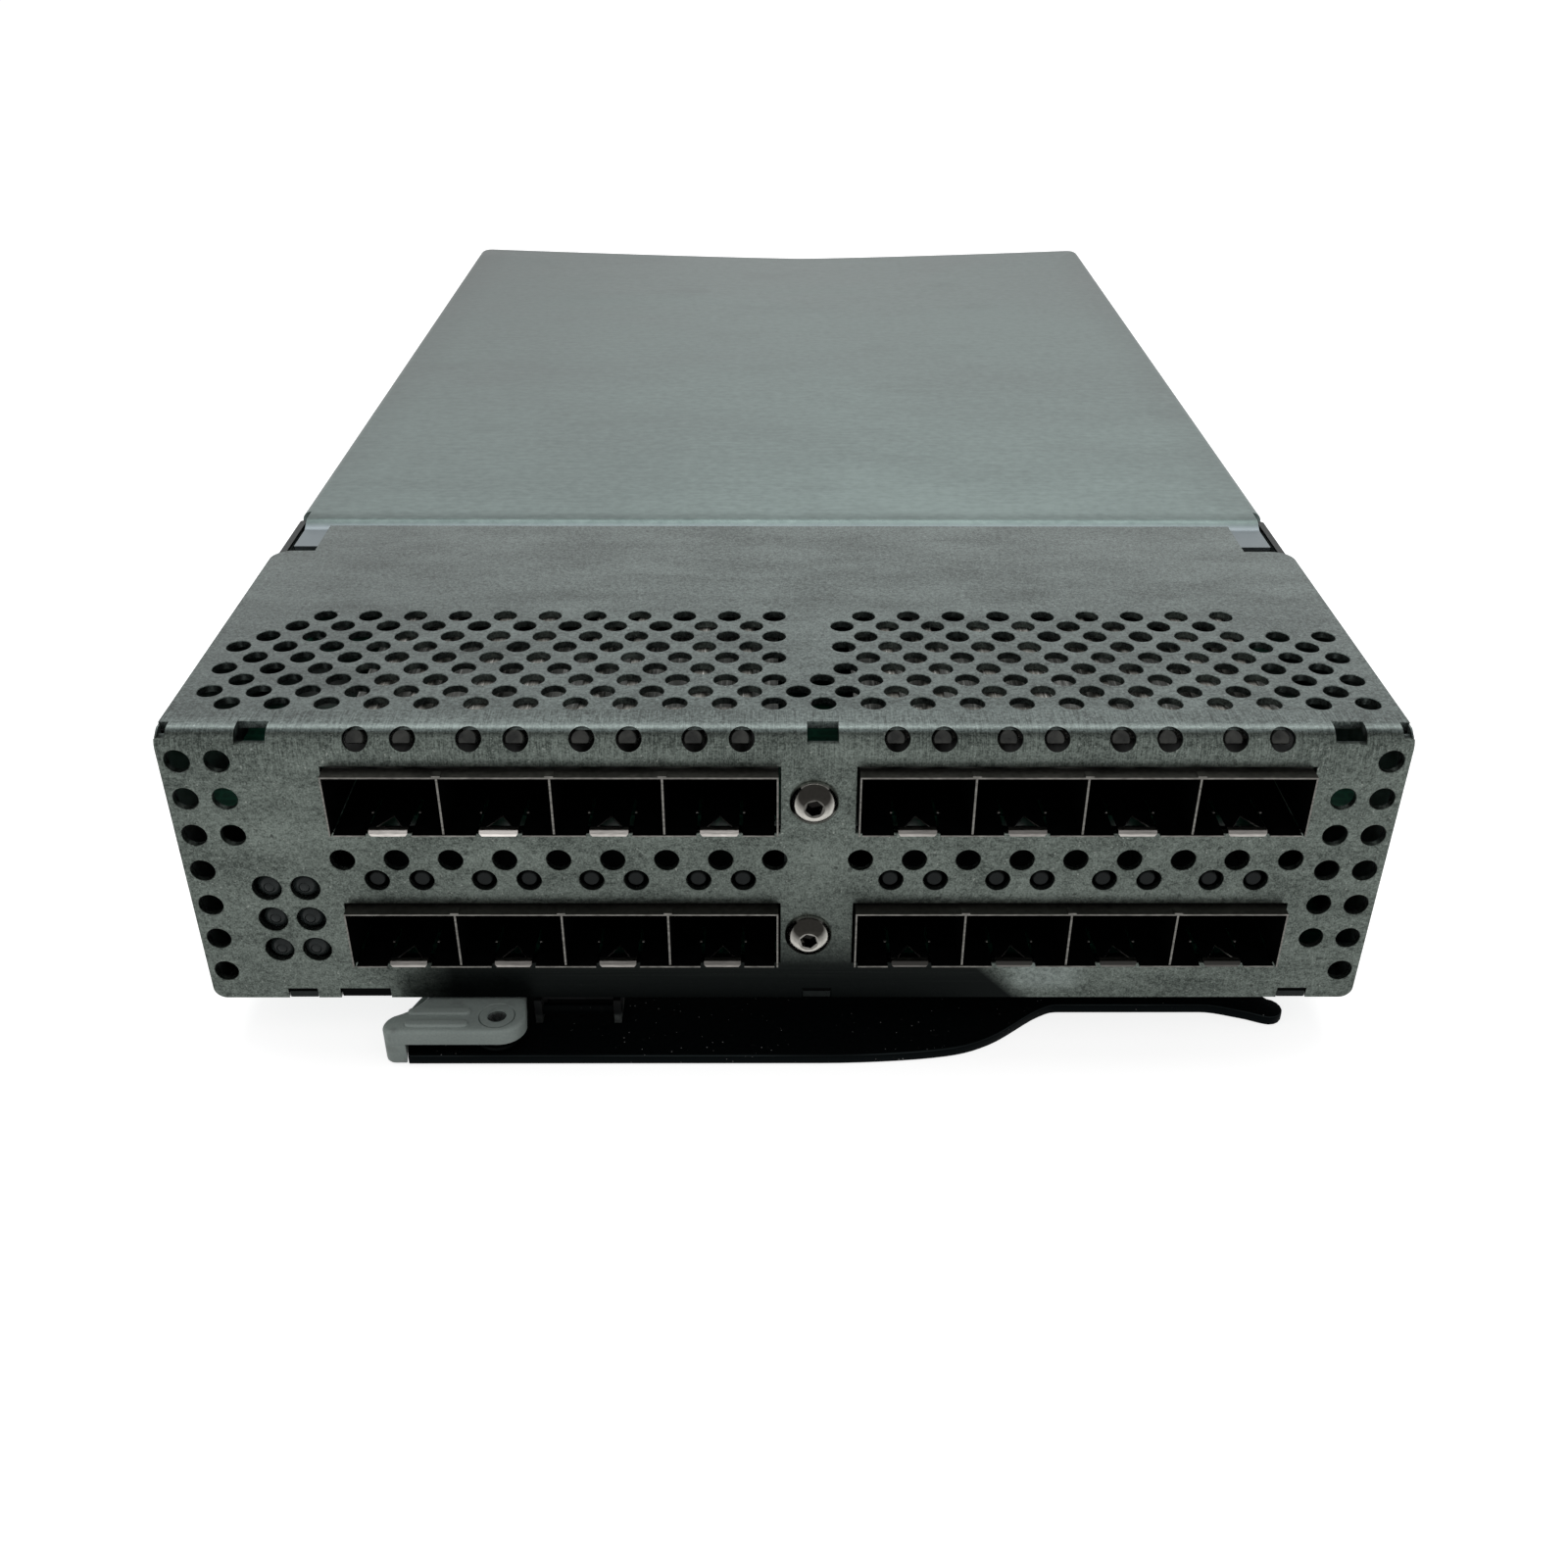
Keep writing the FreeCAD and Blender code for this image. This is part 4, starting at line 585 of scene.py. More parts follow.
board = {"rough": 0.25, "low": (0.002, 0.028, 0.016), "high": (0.004, 0.045, 0.026),
         "copper": (0.010, 0.085, 0.048), "runScale": 190.0, "runGap": 0.055, "runLength": 1.7,
         "runWidth": 0.32}


def makeBoard():
    # green solder mask with paler copper runs
    f = Finish("circuitBoard", Specular_IOR_Level=0.5)
    runs = f.node("ShaderNodeTexBrick", {"offset": 0.5, "squash": 1.0},
                  {"Vector": f.scaled((1, 1, 1)), "Scale": board["runScale"], "Mortar Size": board["runGap"],
                   "Mortar Smooth": 0.2, "Brick Width": board["runLength"], "Row Height": board["runWidth"],
                   "Color1": rgb(0, 0, 0), "Color2": rgb(0.1, 0.1, 0.1), "Mortar": rgb(1, 1, 1)}, "Fac")
    cloth = f.evenNoise(2600, 1.0)
    tone = f.tones(cloth, board["low"], board["high"])
    tone = f.mix(runs * 0.6, tone, rgb(*board["copper"]))
    f.feed(Base_Color=tone, Roughness=cloth * 0.15 + board["rough"])
    return f.material


smokyPipe = {"rough": 0.22, "low": (0.010, 0.011, 0.010), "high": (0.040, 0.041, 0.037),
             "rod": (0.14, 0.135, 0.12), "rodLit": (0.30, 0.295, 0.27), "scratchGlint": (0.75, 0.74, 0.70),
             "rodFrom": 3.2}


def makePipe():
    # smoky moulding of the light pipes: dark at the front, clearer along the rods, where the lighter tone is
    # painted light, with scratches and painted glints
    f = Finish("smokyPipe", Specular_IOR_Level=0.22)
    cloud = f.evenNoise(700)
    tone = f.tones(cloud, smokyPipe["low"], smokyPipe["high"], (0.36, 0.66))
    scratchesAndGlints = f.noise((3200, 110, 3200), 3.0, 0.65)
    rod = f.ramp(scratchesAndGlints, [(0.42, rgb(*smokyPipe["rod"])), (0.60, rgb(*smokyPipe["rodLit"])),
                             (0.68, rgb(*smokyPipe["scratchGlint"]))])
    x, y, z = f.millimetres()
    tone = f.mix(((y - smokyPipe["rodFrom"]) / 1.0).clamped(), tone, rod)
    f.feed(Base_Color=tone, Roughness=cloud * 0.15 + smokyPipe["rough"])
    return f.material


catchSteel = {"metal": 0.7, "rough": 0.38, "low": (0.060, 0.066, 0.063), "high": (0.105, 0.114, 0.110),
              "black": (0.001, 0.0015, 0.0015), "shadeAbove": -3.3, "dull": (0.006, 0.007, 0.007),
              "dullUntil": -28.0}


def makeCatchSteel():
    # the catch's ears: black near the case as painted shade, grey at their feet, the left ear darker
    f = Finish("catchSteel", Metallic=catchSteel["metal"])
    grain = f.evenNoise(1500)
    tone = f.tones(grain, catchSteel["low"], catchSteel["high"])
    x, y, z = f.millimetres()
    tone = f.mix(((z - catchSteel["shadeAbove"]) / 0.5).clamped() * 0.98, tone, rgb(*catchSteel["black"]))
    tone = f.mix((x < catchSteel["dullUntil"]) * 0.72, tone, rgb(*catchSteel["dull"]))
    f.feed(Base_Color=tone, Roughness=grain * 0.2 + catchSteel["rough"])
    return f.material


lever = {"low": -6.4, "top": -4.8, "front": -6.7, "step": 4.0, "pivot": (54.0, 14.0), "boss": 9.5,
         "handleEnd": 5.0, "curve": ((20.7, -5.65), (28.6, -3.1), (36.5, 2.9)), "curveEnd": 41.0,
         "tail": ((60.0, 4.0), (65.5, 2.7), (69.4, 1.3)), "tip": ((69.4, 1.3), (71.6, 3.4), (70.0, 5.4)),
         "rear": ((20.0, 16.0), (-30.0, 9.0)), "round": 0.28}
leverPaint = {"low": (0.0004, 0.0008, 0.0009), "high": (0.0013, 0.0020, 0.0022), "dust": (0.34, 0.34, 0.33),
              "rim": (0.020, 0.026, 0.027), "edge": (0.0030, 0.0048, 0.0054), "dirt": (0.02, 0.02, 0.019)}


def makeLeverPaint():
    # black textured coat with scattered dust and dirt; painted light makes its sides lighter and lays a
    # patchy pale line along its rounded rim
    f = Finish("leverPaint", Specular_IOR_Level=0.02)
    grain = f.evenNoise(1800, 3.0, 0.6)
    tone = f.tones(grain, leverPaint["low"], leverPaint["high"])
    dust = f.node("ShaderNodeTexVoronoi", {"feature": "F1"},
                  {"Vector": f.scaled((1, 1, 1)), "Scale": 1000.0, "Randomness": 1.0}, "Distance")
    patch = f.evenNoise(45, 2.0, 0.6)
    specks = dust < f.evenNoise(300, 1.0) * 0.20 - 0.030
    specks = specks * f.ramp(patch, [(0.42, 0.0), (0.60, 1.0)])
    x, y, z = f.millimetres()
    # painted light: the sides below the rounded rim are a little lighter
    edge = ((lever["top"] - lever["round"] - z) / 0.1).clamped()
    tone = f.mix(edge, tone, rgb(*leverPaint["edge"]))
    # painted highlight: a patchy pale line along the rounded rim
    rim = f.band(z, lever["top"] - 0.13, 0.05, 0.05) * f.ramp(patch, [(0.35, 0.35), (0.60, 1.0)])
    tone = f.mix(rim, tone, rgb(*leverPaint["rim"]))
    tone = f.mix(specks * 0.8, tone, rgb(*leverPaint["dust"]))
    dirt = (f.evenNoise(900, 2.0, 0.6) > 0.70) * f.ramp(patch, [(0.45, 0.0), (0.55, 0.5)])
    tone = f.mix(dirt * 0.5, tone, rgb(*leverPaint["dirt"]))
    f.feed(Base_Color=tone, Roughness=grain * 0.25 + 0.38)
    f.bump(grain, 0.25, 0.00006)
    return f.material


gripPlastic = {"low": (0.258, 0.300, 0.284), "high": (0.342, 0.392, 0.370), "stain": (0.060, 0.055, 0.042),
               "dark": (0.002, 0.0025, 0.0025)}


def makeGripPlastic(name, shadeBelow=None):
    # pale grey moulding with a few stains; the bush has painted shade where it goes down into the lever
    f = Finish(name, Specular_IOR_Level=0.32)
    grain = f.evenNoise(3000, 2.0, 0.55)
    cloud = f.noise((60, 90, 90), 3.0, 0.6)
    tone = f.tones(grain * 0.4 + cloud * 0.6, gripPlastic["low"], gripPlastic["high"], (0.35, 0.65))
    stain = f.ramp(f.evenNoise(260, 3.0, 0.6), [(0.60, 0.0), (0.74, 1.0)])
    tone = f.mix(stain * 0.35, tone, rgb(*gripPlastic["stain"]))
    if shadeBelow is not None:
        x, y, z = f.millimetres()
        tone = f.mix((z < shadeBelow) * 0.98, tone, rgb(*gripPlastic["dark"]))
    f.feed(Base_Color=tone, Roughness=grain * 0.15 + 0.42)
    f.bump(grain, 0.10, 0.00004)
    return f.material


finishes = {
    "galvanised_sheet": makeZinc(),
    "zinc_cover_sheet": makeCoverZinc(),
    "pan": makePanZinc(),
    "cage_nickel": makeCageMetal(),
    "darkEdge": makeSlotShadeEdge(),
    "cageRoof": makeCageRoof(),
    "tongueTip": makeTongueTip(),
    "stainless": makePolished(),
    "circuit_board": makeBoard(),
    "light_pipe": makePipe(),
    "catch": makeCatchSteel(),
    "lever_black": makeLeverPaint(),
    "grip_grey": makeGripPlastic("gripPlastic"),
    "bush": makeGripPlastic("bushPlastic", -2.6),
}
finishes.update({key: makeGrained(**values) for key, values in grained.items()})
ownFinish = {"bottom_pan": "pan", "centre_bracket": "pan", "catch_bracket": "catch", "grip_bush": "bush",
             "latch_spring": "lever_black", "grip_screw": "blackSteel", "catch_rivets": "blackSteel",
             "lever_spacer": "blackSteel"}       # nodes that differ from their slot's finish
slotOf = {part["node"]: part["material_slot"] for part in frame["record"]["subparts"]}
for nodeName, node in nodes.items():
    node.data.materials.clear()
    node.data.materials.append(finishes[ownFinish.get(nodeName, slotOf[nodeName])])
print("finishes ready:", len(finishes))


# mesh helpers

def linked(name, data):
    # a new object in the scene
    made = bpy.data.objects.new(name, data)
    bpy.context.scene.collection.objects.link(made)
    return made


def bake(piece):
    # the evaluated object as a plain mesh, with its modifiers gone
    graph = bpy.context.evaluated_depsgraph_get()
    mesh = bpy.data.meshes.new_from_object(piece.evaluated_get(graph), preserve_all_data_layers=True,
                                           depsgraph=graph)
    piece.modifiers.clear()
    old = piece.data
    piece.data = mesh
    mesh.name = piece.name
    bpy.data.meshes.remove(old)
    return piece


def sharpAt(mesh, degrees):
    mesh.shade_smooth()
    mesh.set_sharp_from_angle(angle=math.radians(degrees))


def around(sides):
    return [2 * math.pi * k / sides for k in range(sides)]


def quarter(steps):
    return [math.pi / 2 * k / steps for k in range(steps + 1)]


def circle(radius, z, sides):
    return [Vector((radius * math.cos(a), radius * math.sin(a), z)) * mm for a in around(sides)]


def ringBox(bm, rings, capBottom=True, capTop=True):
    # closed loft through rings of points with equal counts
    loops = [[bm.verts.new(p) for p in ring] for ring in rings]
    count = len(loops[0])
    for low, high in zip(loops, loops[1:]):
        for i in range(count):
            j = (i + 1) % count
            bm.faces.new((low[i], low[j], high[j], high[i]))
    if capBottom:
        bm.faces.new(list(reversed(loops[0])))
    if capTop:
        bm.faces.new(loops[-1])


def rect(x0, x1, z0, z1, y, grow=0.0):
    return [at(x0 - grow, y, z0 - grow), at(x1 + grow, y, z0 - grow), at(x1 + grow, y, z1 + grow),
            at(x0 - grow, y, z1 + grow)]


def blockMesh(bm, x0, x1, y0, y1, z0, z1):
    ringBox(bm, [rect(x0, x1, z0, z1, y1)[::-1], rect(x0, x1, z0, z1, y0)[::-1]])


def lathe(bm, profile, sides=32):
    # revolve (radius, height) pairs about Z, closed at both ends
    ringBox(bm, [circle(r, z, sides) for r, z in profile])


def meshFrom(name, build):
    bm = bmesh.new()
    build(bm)
    bmesh.ops.recalc_face_normals(bm, faces=bm.faces)
    mesh = bpy.data.meshes.new(name)
    bm.to_mesh(mesh)
    bm.free()
    return mesh


# geometry node trees, and a unit shape repeated on points that carry their own lean and size

class Tree:
    # a geometry node tree with named inputs
    def __init__(self, name):
        self.group = bpy.data.node_groups.new(name, "GeometryNodeTree")
        self.ids = {}
        for way in ("INPUT", "OUTPUT"):
            self.group.interface.new_socket("Geometry", in_out=way, socket_type="NodeSocketGeometry")
        self.source = self.group.nodes.new("NodeGroupInput")
        self.sink = self.group.nodes.new("NodeGroupOutput")
        self.geometry = self.source.outputs["Geometry"]

    def value(self, name, kind, default=None):
        item = self.group.interface.new_socket(name, in_out="INPUT", socket_type="NodeSocket" + kind)
        if default is not None:
            item.default_value = default
        self.ids[name] = item.identifier
        return self.source.outputs[name]

    def node(self, kind, settings, values, out=0):
        made = self.group.nodes.new(kind)
        for key, value in settings.items():
            setattr(made, key, value)
        for key, value in values.items():
            for one in (value if isinstance(value, list) else [value]):
                plug(self.group, made.inputs[key], one)
        return made.outputs[out]

    def maths(self, kind, *values):
        made = self.group.nodes.new("ShaderNodeMath")
        made.operation = kind
        for socket, value in zip(made.inputs, values):
            plug(self.group, socket, value)
        return made.outputs[0]

    def shapeOf(self, holder):
        return self.node("GeometryNodeObjectInfo", {}, {"Object": holder}, "Geometry")

    def attribute(self, name, kind):
        return self.node("GeometryNodeInputNamedAttribute", {"data_type": kind}, {"Name": name})

    def copies(self, points, unit):
        # the unit on every point, by the lean and size that the points carry
        lean, size = [self.attribute(key, "FLOAT_VECTOR") for key in ("lean", "size")]
        turned = self.node("FunctionNodeEulerToRotation", {}, {"Euler": lean})
        return self.node("GeometryNodeInstanceOnPoints", {},
                         {"Points": points, "Instance": unit, "Rotation": turned, "Scale": size})

    def realized(self, geometry):
        return self.node("GeometryNodeRealizeInstances", {}, {"Geometry": geometry})

    def minus(self, whole, part, solver="MANIFOLD", **options):
        return self.node("GeometryNodeMeshBoolean", {"operation": "DIFFERENCE", "solver": solver},
                         {"Mesh 1": whole, "Mesh 2": part, **options})

    def finish(self, geometry, material):
        painted = self.node("GeometryNodeSetMaterial", {},
                            {"Geometry": self.realized(geometry), "Material": material})
        self.group.links.new(painted, self.sink.inputs["Geometry"])

    def apply(self, piece, values):
        modifier = piece.modifiers.new(self.group.name, "NODES")
        modifier.node_group = self.group
        for name, value in values.items():
            modifier[self.ids[name]] = value
        return bake(piece)


def spotHolder(name, spots):
    # points from (place, lean, size) triples
    mesh = bpy.data.meshes.new(name)
    mesh.from_pydata([s[0] for s in spots], [], [])
    for key, values in (("lean", [s[1] for s in spots]), ("size", [s[2] for s in spots])):
        layer = mesh.attributes.new(key, "FLOAT_VECTOR", "POINT")
        for k, value in enumerate(values):
            layer.data[k].vector = value
    return linked(name, mesh)


def repeatTree(name, punching):
    t = Tree(name)
    unit = t.value("Unit", "Object")
    spots = t.value("Spots", "Object")
    material = t.value("Finish", "Material")
    units = t.copies(t.shapeOf(spots), t.shapeOf(unit))
    if punching:
        t.finish(t.minus(t.geometry, t.realized(units)), material)
    else:
        t.finish(t.node("GeometryNodeJoinGeometry", {}, {"Geometry": [t.geometry, units]}), material)
    return t


def repeated(name, build, spots, body, finish, smooth=25, replaced=(), base=None, punching=False):
    # a finished piece made of one unit repeated at every spot, beside its base or punched out of it
    unit = linked(name + "Unit", meshFrom(name + "Unit", build))
    holder = spotHolder(name + "Spots", spots)
    piece = linked(name, base or bpy.data.meshes.new(name))
    repeatTree(name, punching).apply(piece, {"Unit": unit, "Spots": holder, "Finish": finishes[finish]})
    bpy.data.objects.remove(unit)
    bpy.data.objects.remove(holder)
    sharpAt(piece.data, smooth)
    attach(piece, body)
    if replaced:
        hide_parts(*replaced)
    return piece


unturned = (0, 0, 0)
forwardLean = (math.radians(90), 0, 0)       # a shape's +Z turned to the front
plainSize = (1.0, 1.0, 1.0)


# front shell: face, fold and perforated hood from one sheet

shell = {"sheet": 1.0, "foldRadius": 2.4, "foldSteps": 12, "faceCorner": 1.7, "hoodReach": 56.8,
         "tongueReach": 66.9, "tongueLeft": 6.2, "tongueRight": 7.2, "relief": 1.1, "reliefWidth": 1.35,
         "rearCorner": 3.0, "cornerSteps": 8, "slotRise": 1.65, "rollover": 0.09, "holeRadius": 1.65,
         "holeSides": 28, "notches": (-67.5, 4.7, 71.5), "notchHalf": 2.0, "notchDepth": 3.1,
         "notchDrop": 1.75}
perforation = {"pitch": 6.44, "row": 3.22, "front": 7.87, "margin": 7.19, "rows": 9, "columns": 24,
               "stripColumn": 12.0, "stripFromRow": 2.5, "shortFromRow": 6.5, "shortEnd": 21.5}
lights = {"offset": 2.97, "lean": 35.0, "lowerZ": 20.05}
status = {"x": -69.15, "z": 8.45, "pitch": 5.15, "radius": 1.98, "columns": 2, "rows": 3}
vents = {"middleZ": 23.3, "middlePitch": 7.125, "middleCount": 9, "sideX": 77.1, "inset": 5.05, "sideZ": 4.72,
         "sidePitch": 5.635, "sideCount": 7, "leftInset": (4, 5, 6), "rightInset": (1, 2, 3, 4, 5)}
cageSpan = ports["pitch"] * ports["count"]
cageStarts = (("left", ports["leftStart"]), ("right", ports["rightStart"]))
cageRows = (("upper", ports["upperZ"]), ("lower", ports["lowerZ"]))
leftRight = (-1, 1)


def portCentres(start):
    return [start + ports["pitch"] * (i + 0.5) for i in range(ports["count"])]


def lightPlaces(start):
    return [x + side * lights["offset"] for x in portCentres(start) for side in leftRight]


def faceVents():
    places = []
    for _, start in cageStarts:
        places += [(start + vents["middlePitch"] * k, vents["middleZ"]) for k in range(vents["middleCount"])]
    for k in range(vents["sideCount"]):
        z = vents["sideZ"] + vents["sidePitch"] * k
        places += [(side * vents["sideX"], z) for side in leftRight]
        if k in vents["leftInset"]:
            places.append((vents["inset"] - vents["sideX"], z))
        if k in vents["rightInset"]:
            places.append((vents["sideX"] - vents["inset"], z))
    places += [(x, lights["lowerZ"]) for _, start in cageStarts for x in lightPlaces(start)]
    return places


def statusPlaces():
    return [(status["x"] + status["pitch"] * i, status["z"] + status["pitch"] * k)
            for i in range(status["columns"]) for k in range(status["rows"])]


def foldedSheet(bm):
    # closed sheet, folded once between face and hood
    outer, inner = shell["foldRadius"], shell["foldRadius"] - shell["sheet"]
    bendY, bendZ = outer, caseTop - outer
    turns = quarter(shell["foldSteps"])
    profile = [(0, 0)]
    profile += [(bendY - outer * math.cos(t), bendZ + outer * math.sin(t)) for t in turns]
    profile += [(shell["tongueReach"], caseTop), (shell["tongueReach"], caseTop - shell["sheet"])]
    profile += [(bendY - inner * math.cos(t), bendZ + inner * math.sin(t)) for t in reversed(turns)]
    profile.append((shell["sheet"], 0))
    ringBox(bm, [[at(x, y, z) for y, z in profile] for x in (caseHalf, -caseHalf)])


def cornerOutline(radius):
    # what is cut off a square corner at the origin to round it
    turns = quarter(shell["cornerSteps"])[::-1]
    bend = [(radius - radius * math.sin(t), radius - radius * math.cos(t)) for t in turns]
    return [(-1, radius)] + bend + [(radius, -1), (-1, -1)]


def windowCutters(bm):
    # windows, notches, slots, the tongue's sides and the rounded corners; the windows have a rolled-over rim
    roll, above = shell["rollover"], caseTop + 1
    steps = ((-0.5, roll + 0.5), (roll, 0), (2, 0))
    grow, endGap = 0.5 + ports["sideGap"], ports["endGap"]
    for _, start in cageStarts:
        x0, x1 = start - grow, start + cageSpan + grow
        for _, z in cageRows:
            z0, z1 = z - endGap, z + ports["height"] + endGap
            ringBox(bm, [rect(x0, x1, z0, z1, y, rim) for y, rim in steps])
    for x, width in footSlots:
        blockMesh(bm, x - width / 2, x + width / 2, -1, 2, -1, shell["slotRise"])
    for x in shell["notches"]:
        blockMesh(bm, x - shell["notchHalf"], x + shell["notchHalf"], -1, shell["notchDepth"],
                  caseTop - shell["notchDrop"], above)
    hoodReach, past = shell["hoodReach"], shell["tongueReach"] + 1
    blockMesh(bm, -caseHalf - 1, shell["tongueLeft"] - caseHalf, hoodReach, past, caseTop - 2, above)
    blockMesh(bm, caseHalf - shell["tongueRight"], caseHalf + 1, hoodReach, past, caseTop - 2, above)
    for side in leftRight:
        x0, x1 = sorted((side * (caseHalf + 1), side * (caseHalf - shell["reliefWidth"])))
        blockMesh(bm, x0, x1, -1, shell["foldRadius"] + 0.5, caseTop - shell["relief"], above)
        rear, low = cornerOutline(shell["rearCorner"]), cornerOutline(shell["faceCorner"])
        ringBox(bm, [[at(side * (caseHalf - u), hoodReach - w, z) for u, w in rear]
                     for z in (caseTop - 2, above)])
        ringBox(bm, [[at(side * (caseHalf - u), y, w) for u, w in low] for y in (-1, 2)])


def roundPunch(bm):
    # punch along -Z with a small cone that leaves a rolled-over rim
    radius, roll, above, below = shell["holeRadius"], shell["rollover"], 0.34, 1.8
    steps = ((-below, radius), (-roll, radius), (above, radius + roll + above))
    ringBox(bm, [circle(r, z, shell["holeSides"]) for z, r in steps])


def perforationTree():
    # staggered punches over the hood, joined with single punches at given points, taken out of the sheet
    t = Tree("perforatedShell")
    pitch = t.value("Pitch", "Float", 0.006)
    row = t.value("Row spacing", "Float", 0.003)
    columns = t.value("Columns", "Int", 10)
    rows = t.value("Rows", "Int", 5)
    corner = t.value("First hole", "Vector", (0, 0, 0))
    punch = t.value("Round punch", "Object")
    windows = t.value("Window punches", "Object")
    singles = t.value("Single punches", "Object")
    material = t.value("Finish", "Material")

    total = t.maths("MULTIPLY", columns, rows)
    places = t.node("GeometryNodeMeshLine", {"mode": "OFFSET"}, {"Count": total, "Offset": (0, 0, 0)})
    index = t.node("GeometryNodeInputIndex", {}, {})
    rowIndex = t.maths("FLOOR", t.maths("DIVIDE", t.maths("ADD", index, 0.5), columns))
    columnIndex = t.maths("SUBTRACT", index, t.maths("MULTIPLY", rowIndex, columns))
    odd = t.maths("FLOORED_MODULO", rowIndex, 2.0)
    x = t.maths("MULTIPLY", t.maths("SUBTRACT", columnIndex, t.maths("MULTIPLY", odd, 0.5)), pitch)
    y = t.maths("MULTIPLY", rowIndex, row)
    place = t.node("ShaderNodeCombineXYZ", {}, {"X": x, "Y": y})
    shifted = t.node("ShaderNodeVectorMath", {"operation": "ADD"}, {0: place, 1: corner})
    points = t.node("GeometryNodeSetPosition", {}, {"Geometry": places, "Position": shifted})
    # the plain strip in the middle of the rear rows, and the last two rows without their end holes
    strip = t.maths("MULTIPLY", t.maths("COMPARE", columnIndex, perforation["stripColumn"], 0.5),
                    t.maths("GREATER_THAN", rowIndex, perforation["stripFromRow"]))
    ends = t.maths("MULTIPLY", t.maths("GREATER_THAN", rowIndex, perforation["shortFromRow"]),
                   t.maths("ADD", t.maths("LESS_THAN", columnIndex, 0.5),
                           t.maths("GREATER_THAN", columnIndex, perforation["shortEnd"])))
    gone = t.maths("GREATER_THAN", t.maths("ADD", strip, ends), 0.5)
    kept = t.node("GeometryNodeDeleteGeometry", {"domain": "POINT"}, {"Geometry": points, "Selection": gone})
    tool = t.shapeOf(punch)
    hoodHoles = t.node("GeometryNodeInstanceOnPoints", {}, {"Points": kept, "Instance": tool})
    faceHoles = t.copies(t.shapeOf(singles), tool)
    punches = t.realized(t.node("GeometryNodeJoinGeometry", {}, {"Geometry": [hoodHoles, faceHoles]}))
    first = t.minus(t.geometry, t.shapeOf(windows), "EXACT", **{"Self Intersection": True})
    t.finish(t.minus(first, punches), material)
    return t


def singlePunches():
    # places, leans and sizes of the punches through face and fold
    spots = [(at(x, 0, z), forwardLean, plainSize) for x, z in faceVents()]
    wide = status["radius"] / shell["holeRadius"]
    spots += [(at(x, 0, z), forwardLean, (wide, wide, 1.0)) for x, z in statusPlaces()]
    spots += [(at(panelScrews["x"], 0, z), forwardLean, plainSize) for z in panelScrews["z"]]
    lean, bend = math.radians(lights["lean"]), shell["foldRadius"]
    y, z = bend - bend * math.cos(lean), caseTop - bend + bend * math.sin(lean)
    spots += [(at(x, y, z), (forwardLean[0] - lean, 0, 0), plainSize)
              for _, start in cageStarts for x in lightPlaces(start)]
    return spots


def makeShell():
    punch = linked("roundPunch", meshFrom("roundPunch", roundPunch))
    singles = spotHolder("singlePunches", singlePunches())
    windows = linked("windowPunches", meshFrom("windowCutters", windowCutters))
    piece = linked("perforatedShell", meshFrom("foldedSheet", foldedSheet))
    first = at(perforation["margin"] - caseHalf, perforation["front"], caseTop)
    perforationTree().apply(piece, {
        "Pitch": perforation["pitch"] * mm, "Row spacing": perforation["row"] * mm,
        "Columns": perforation["columns"], "Rows": perforation["rows"], "First hole": first,
        "Round punch": punch, "Window punches": windows, "Single punches": singles,
        "Finish": finishes["galvanised_sheet"]})
    for spare in (punch, singles, windows):
        bpy.data.objects.remove(spare)
    sharpAt(piece.data, 22)
    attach(piece, "card")
    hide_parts("front_shell")
    print("front shell:", len(piece.data.polygons), "faces")


slotShadeLip = {"y": 0.62, "z": 0.62, "gap": 0.3, "front": -0.3, "rear": 0.35, "low": -0.6, "high": 0.87,
           "crest": 0.95}
cornerTab = {"half": 0.12, "front": 0.75, "rearGap": 0.45, "drop": 1.6, "low": -1.0, "high": 0.6,
             "crest": 1.35, "crestFront": 0.1}


def standingEdge(bm, half, front, rear, levels, crest):
    # upright strip of sheet whose crest is narrower: levels in z, then the crest's half width, front and z
    rows = [[Vector((x, y, z)) * mm for x, y in ((-half, front), (half, front), (half, rear), (-half, rear))]
            for z in levels]
    top, start, z = crest
    rows.append([Vector((x, y, z)) * mm for x, y in ((-top, start), (top, start), (top, rear), (-top, rear))])
    ringBox(bm, rows)


def makeSlotShadeLips():
    # painted shade: a near-black strip, shaped as the pan's edge, standing in the slots along the face's foot
    spots = [(at(x, slotShadeLip["y"], slotShadeLip["z"]), unturned, (width - slotShadeLip["gap"], 1, 1))
             for x, width in footSlots]

    def lip(bm):
        standingEdge(bm, 0.5, slotShadeLip["front"], slotShadeLip["rear"], (slotShadeLip["low"], slotShadeLip["high"]),
                     (0.49, slotShadeLip["front"] + 0.1, slotShadeLip["crest"]))

    repeated("footLips", lip, spots, "card", "darkEdge")


def makeCornerTabs():
    # thin upright edge of the pan in the notch at each end of the fold
    half, front, rear = cornerTab["half"], cornerTab["front"], shell["foldRadius"] + cornerTab["rearGap"]
    spots = [(at(side * (caseHalf - half), (front + rear) / 2, caseTop - cornerTab["drop"]), unturned,
              plainSize) for side in leftRight]
    run = (rear - front) / 2

    def tab(bm):
        standingEdge(bm, half, -run, run, (cornerTab["low"], cornerTab["high"]),
                     (half, cornerTab["crestFront"], cornerTab["crest"]))

    repeated("cornerTabs", tab, spots, "card", "galvanised_sheet")


makeShell()
makeSlotShadeLips()
makeCornerTabs()


# rear cover: drawn tray with rolled edges, a dent in its rear edge and a joggled front lip

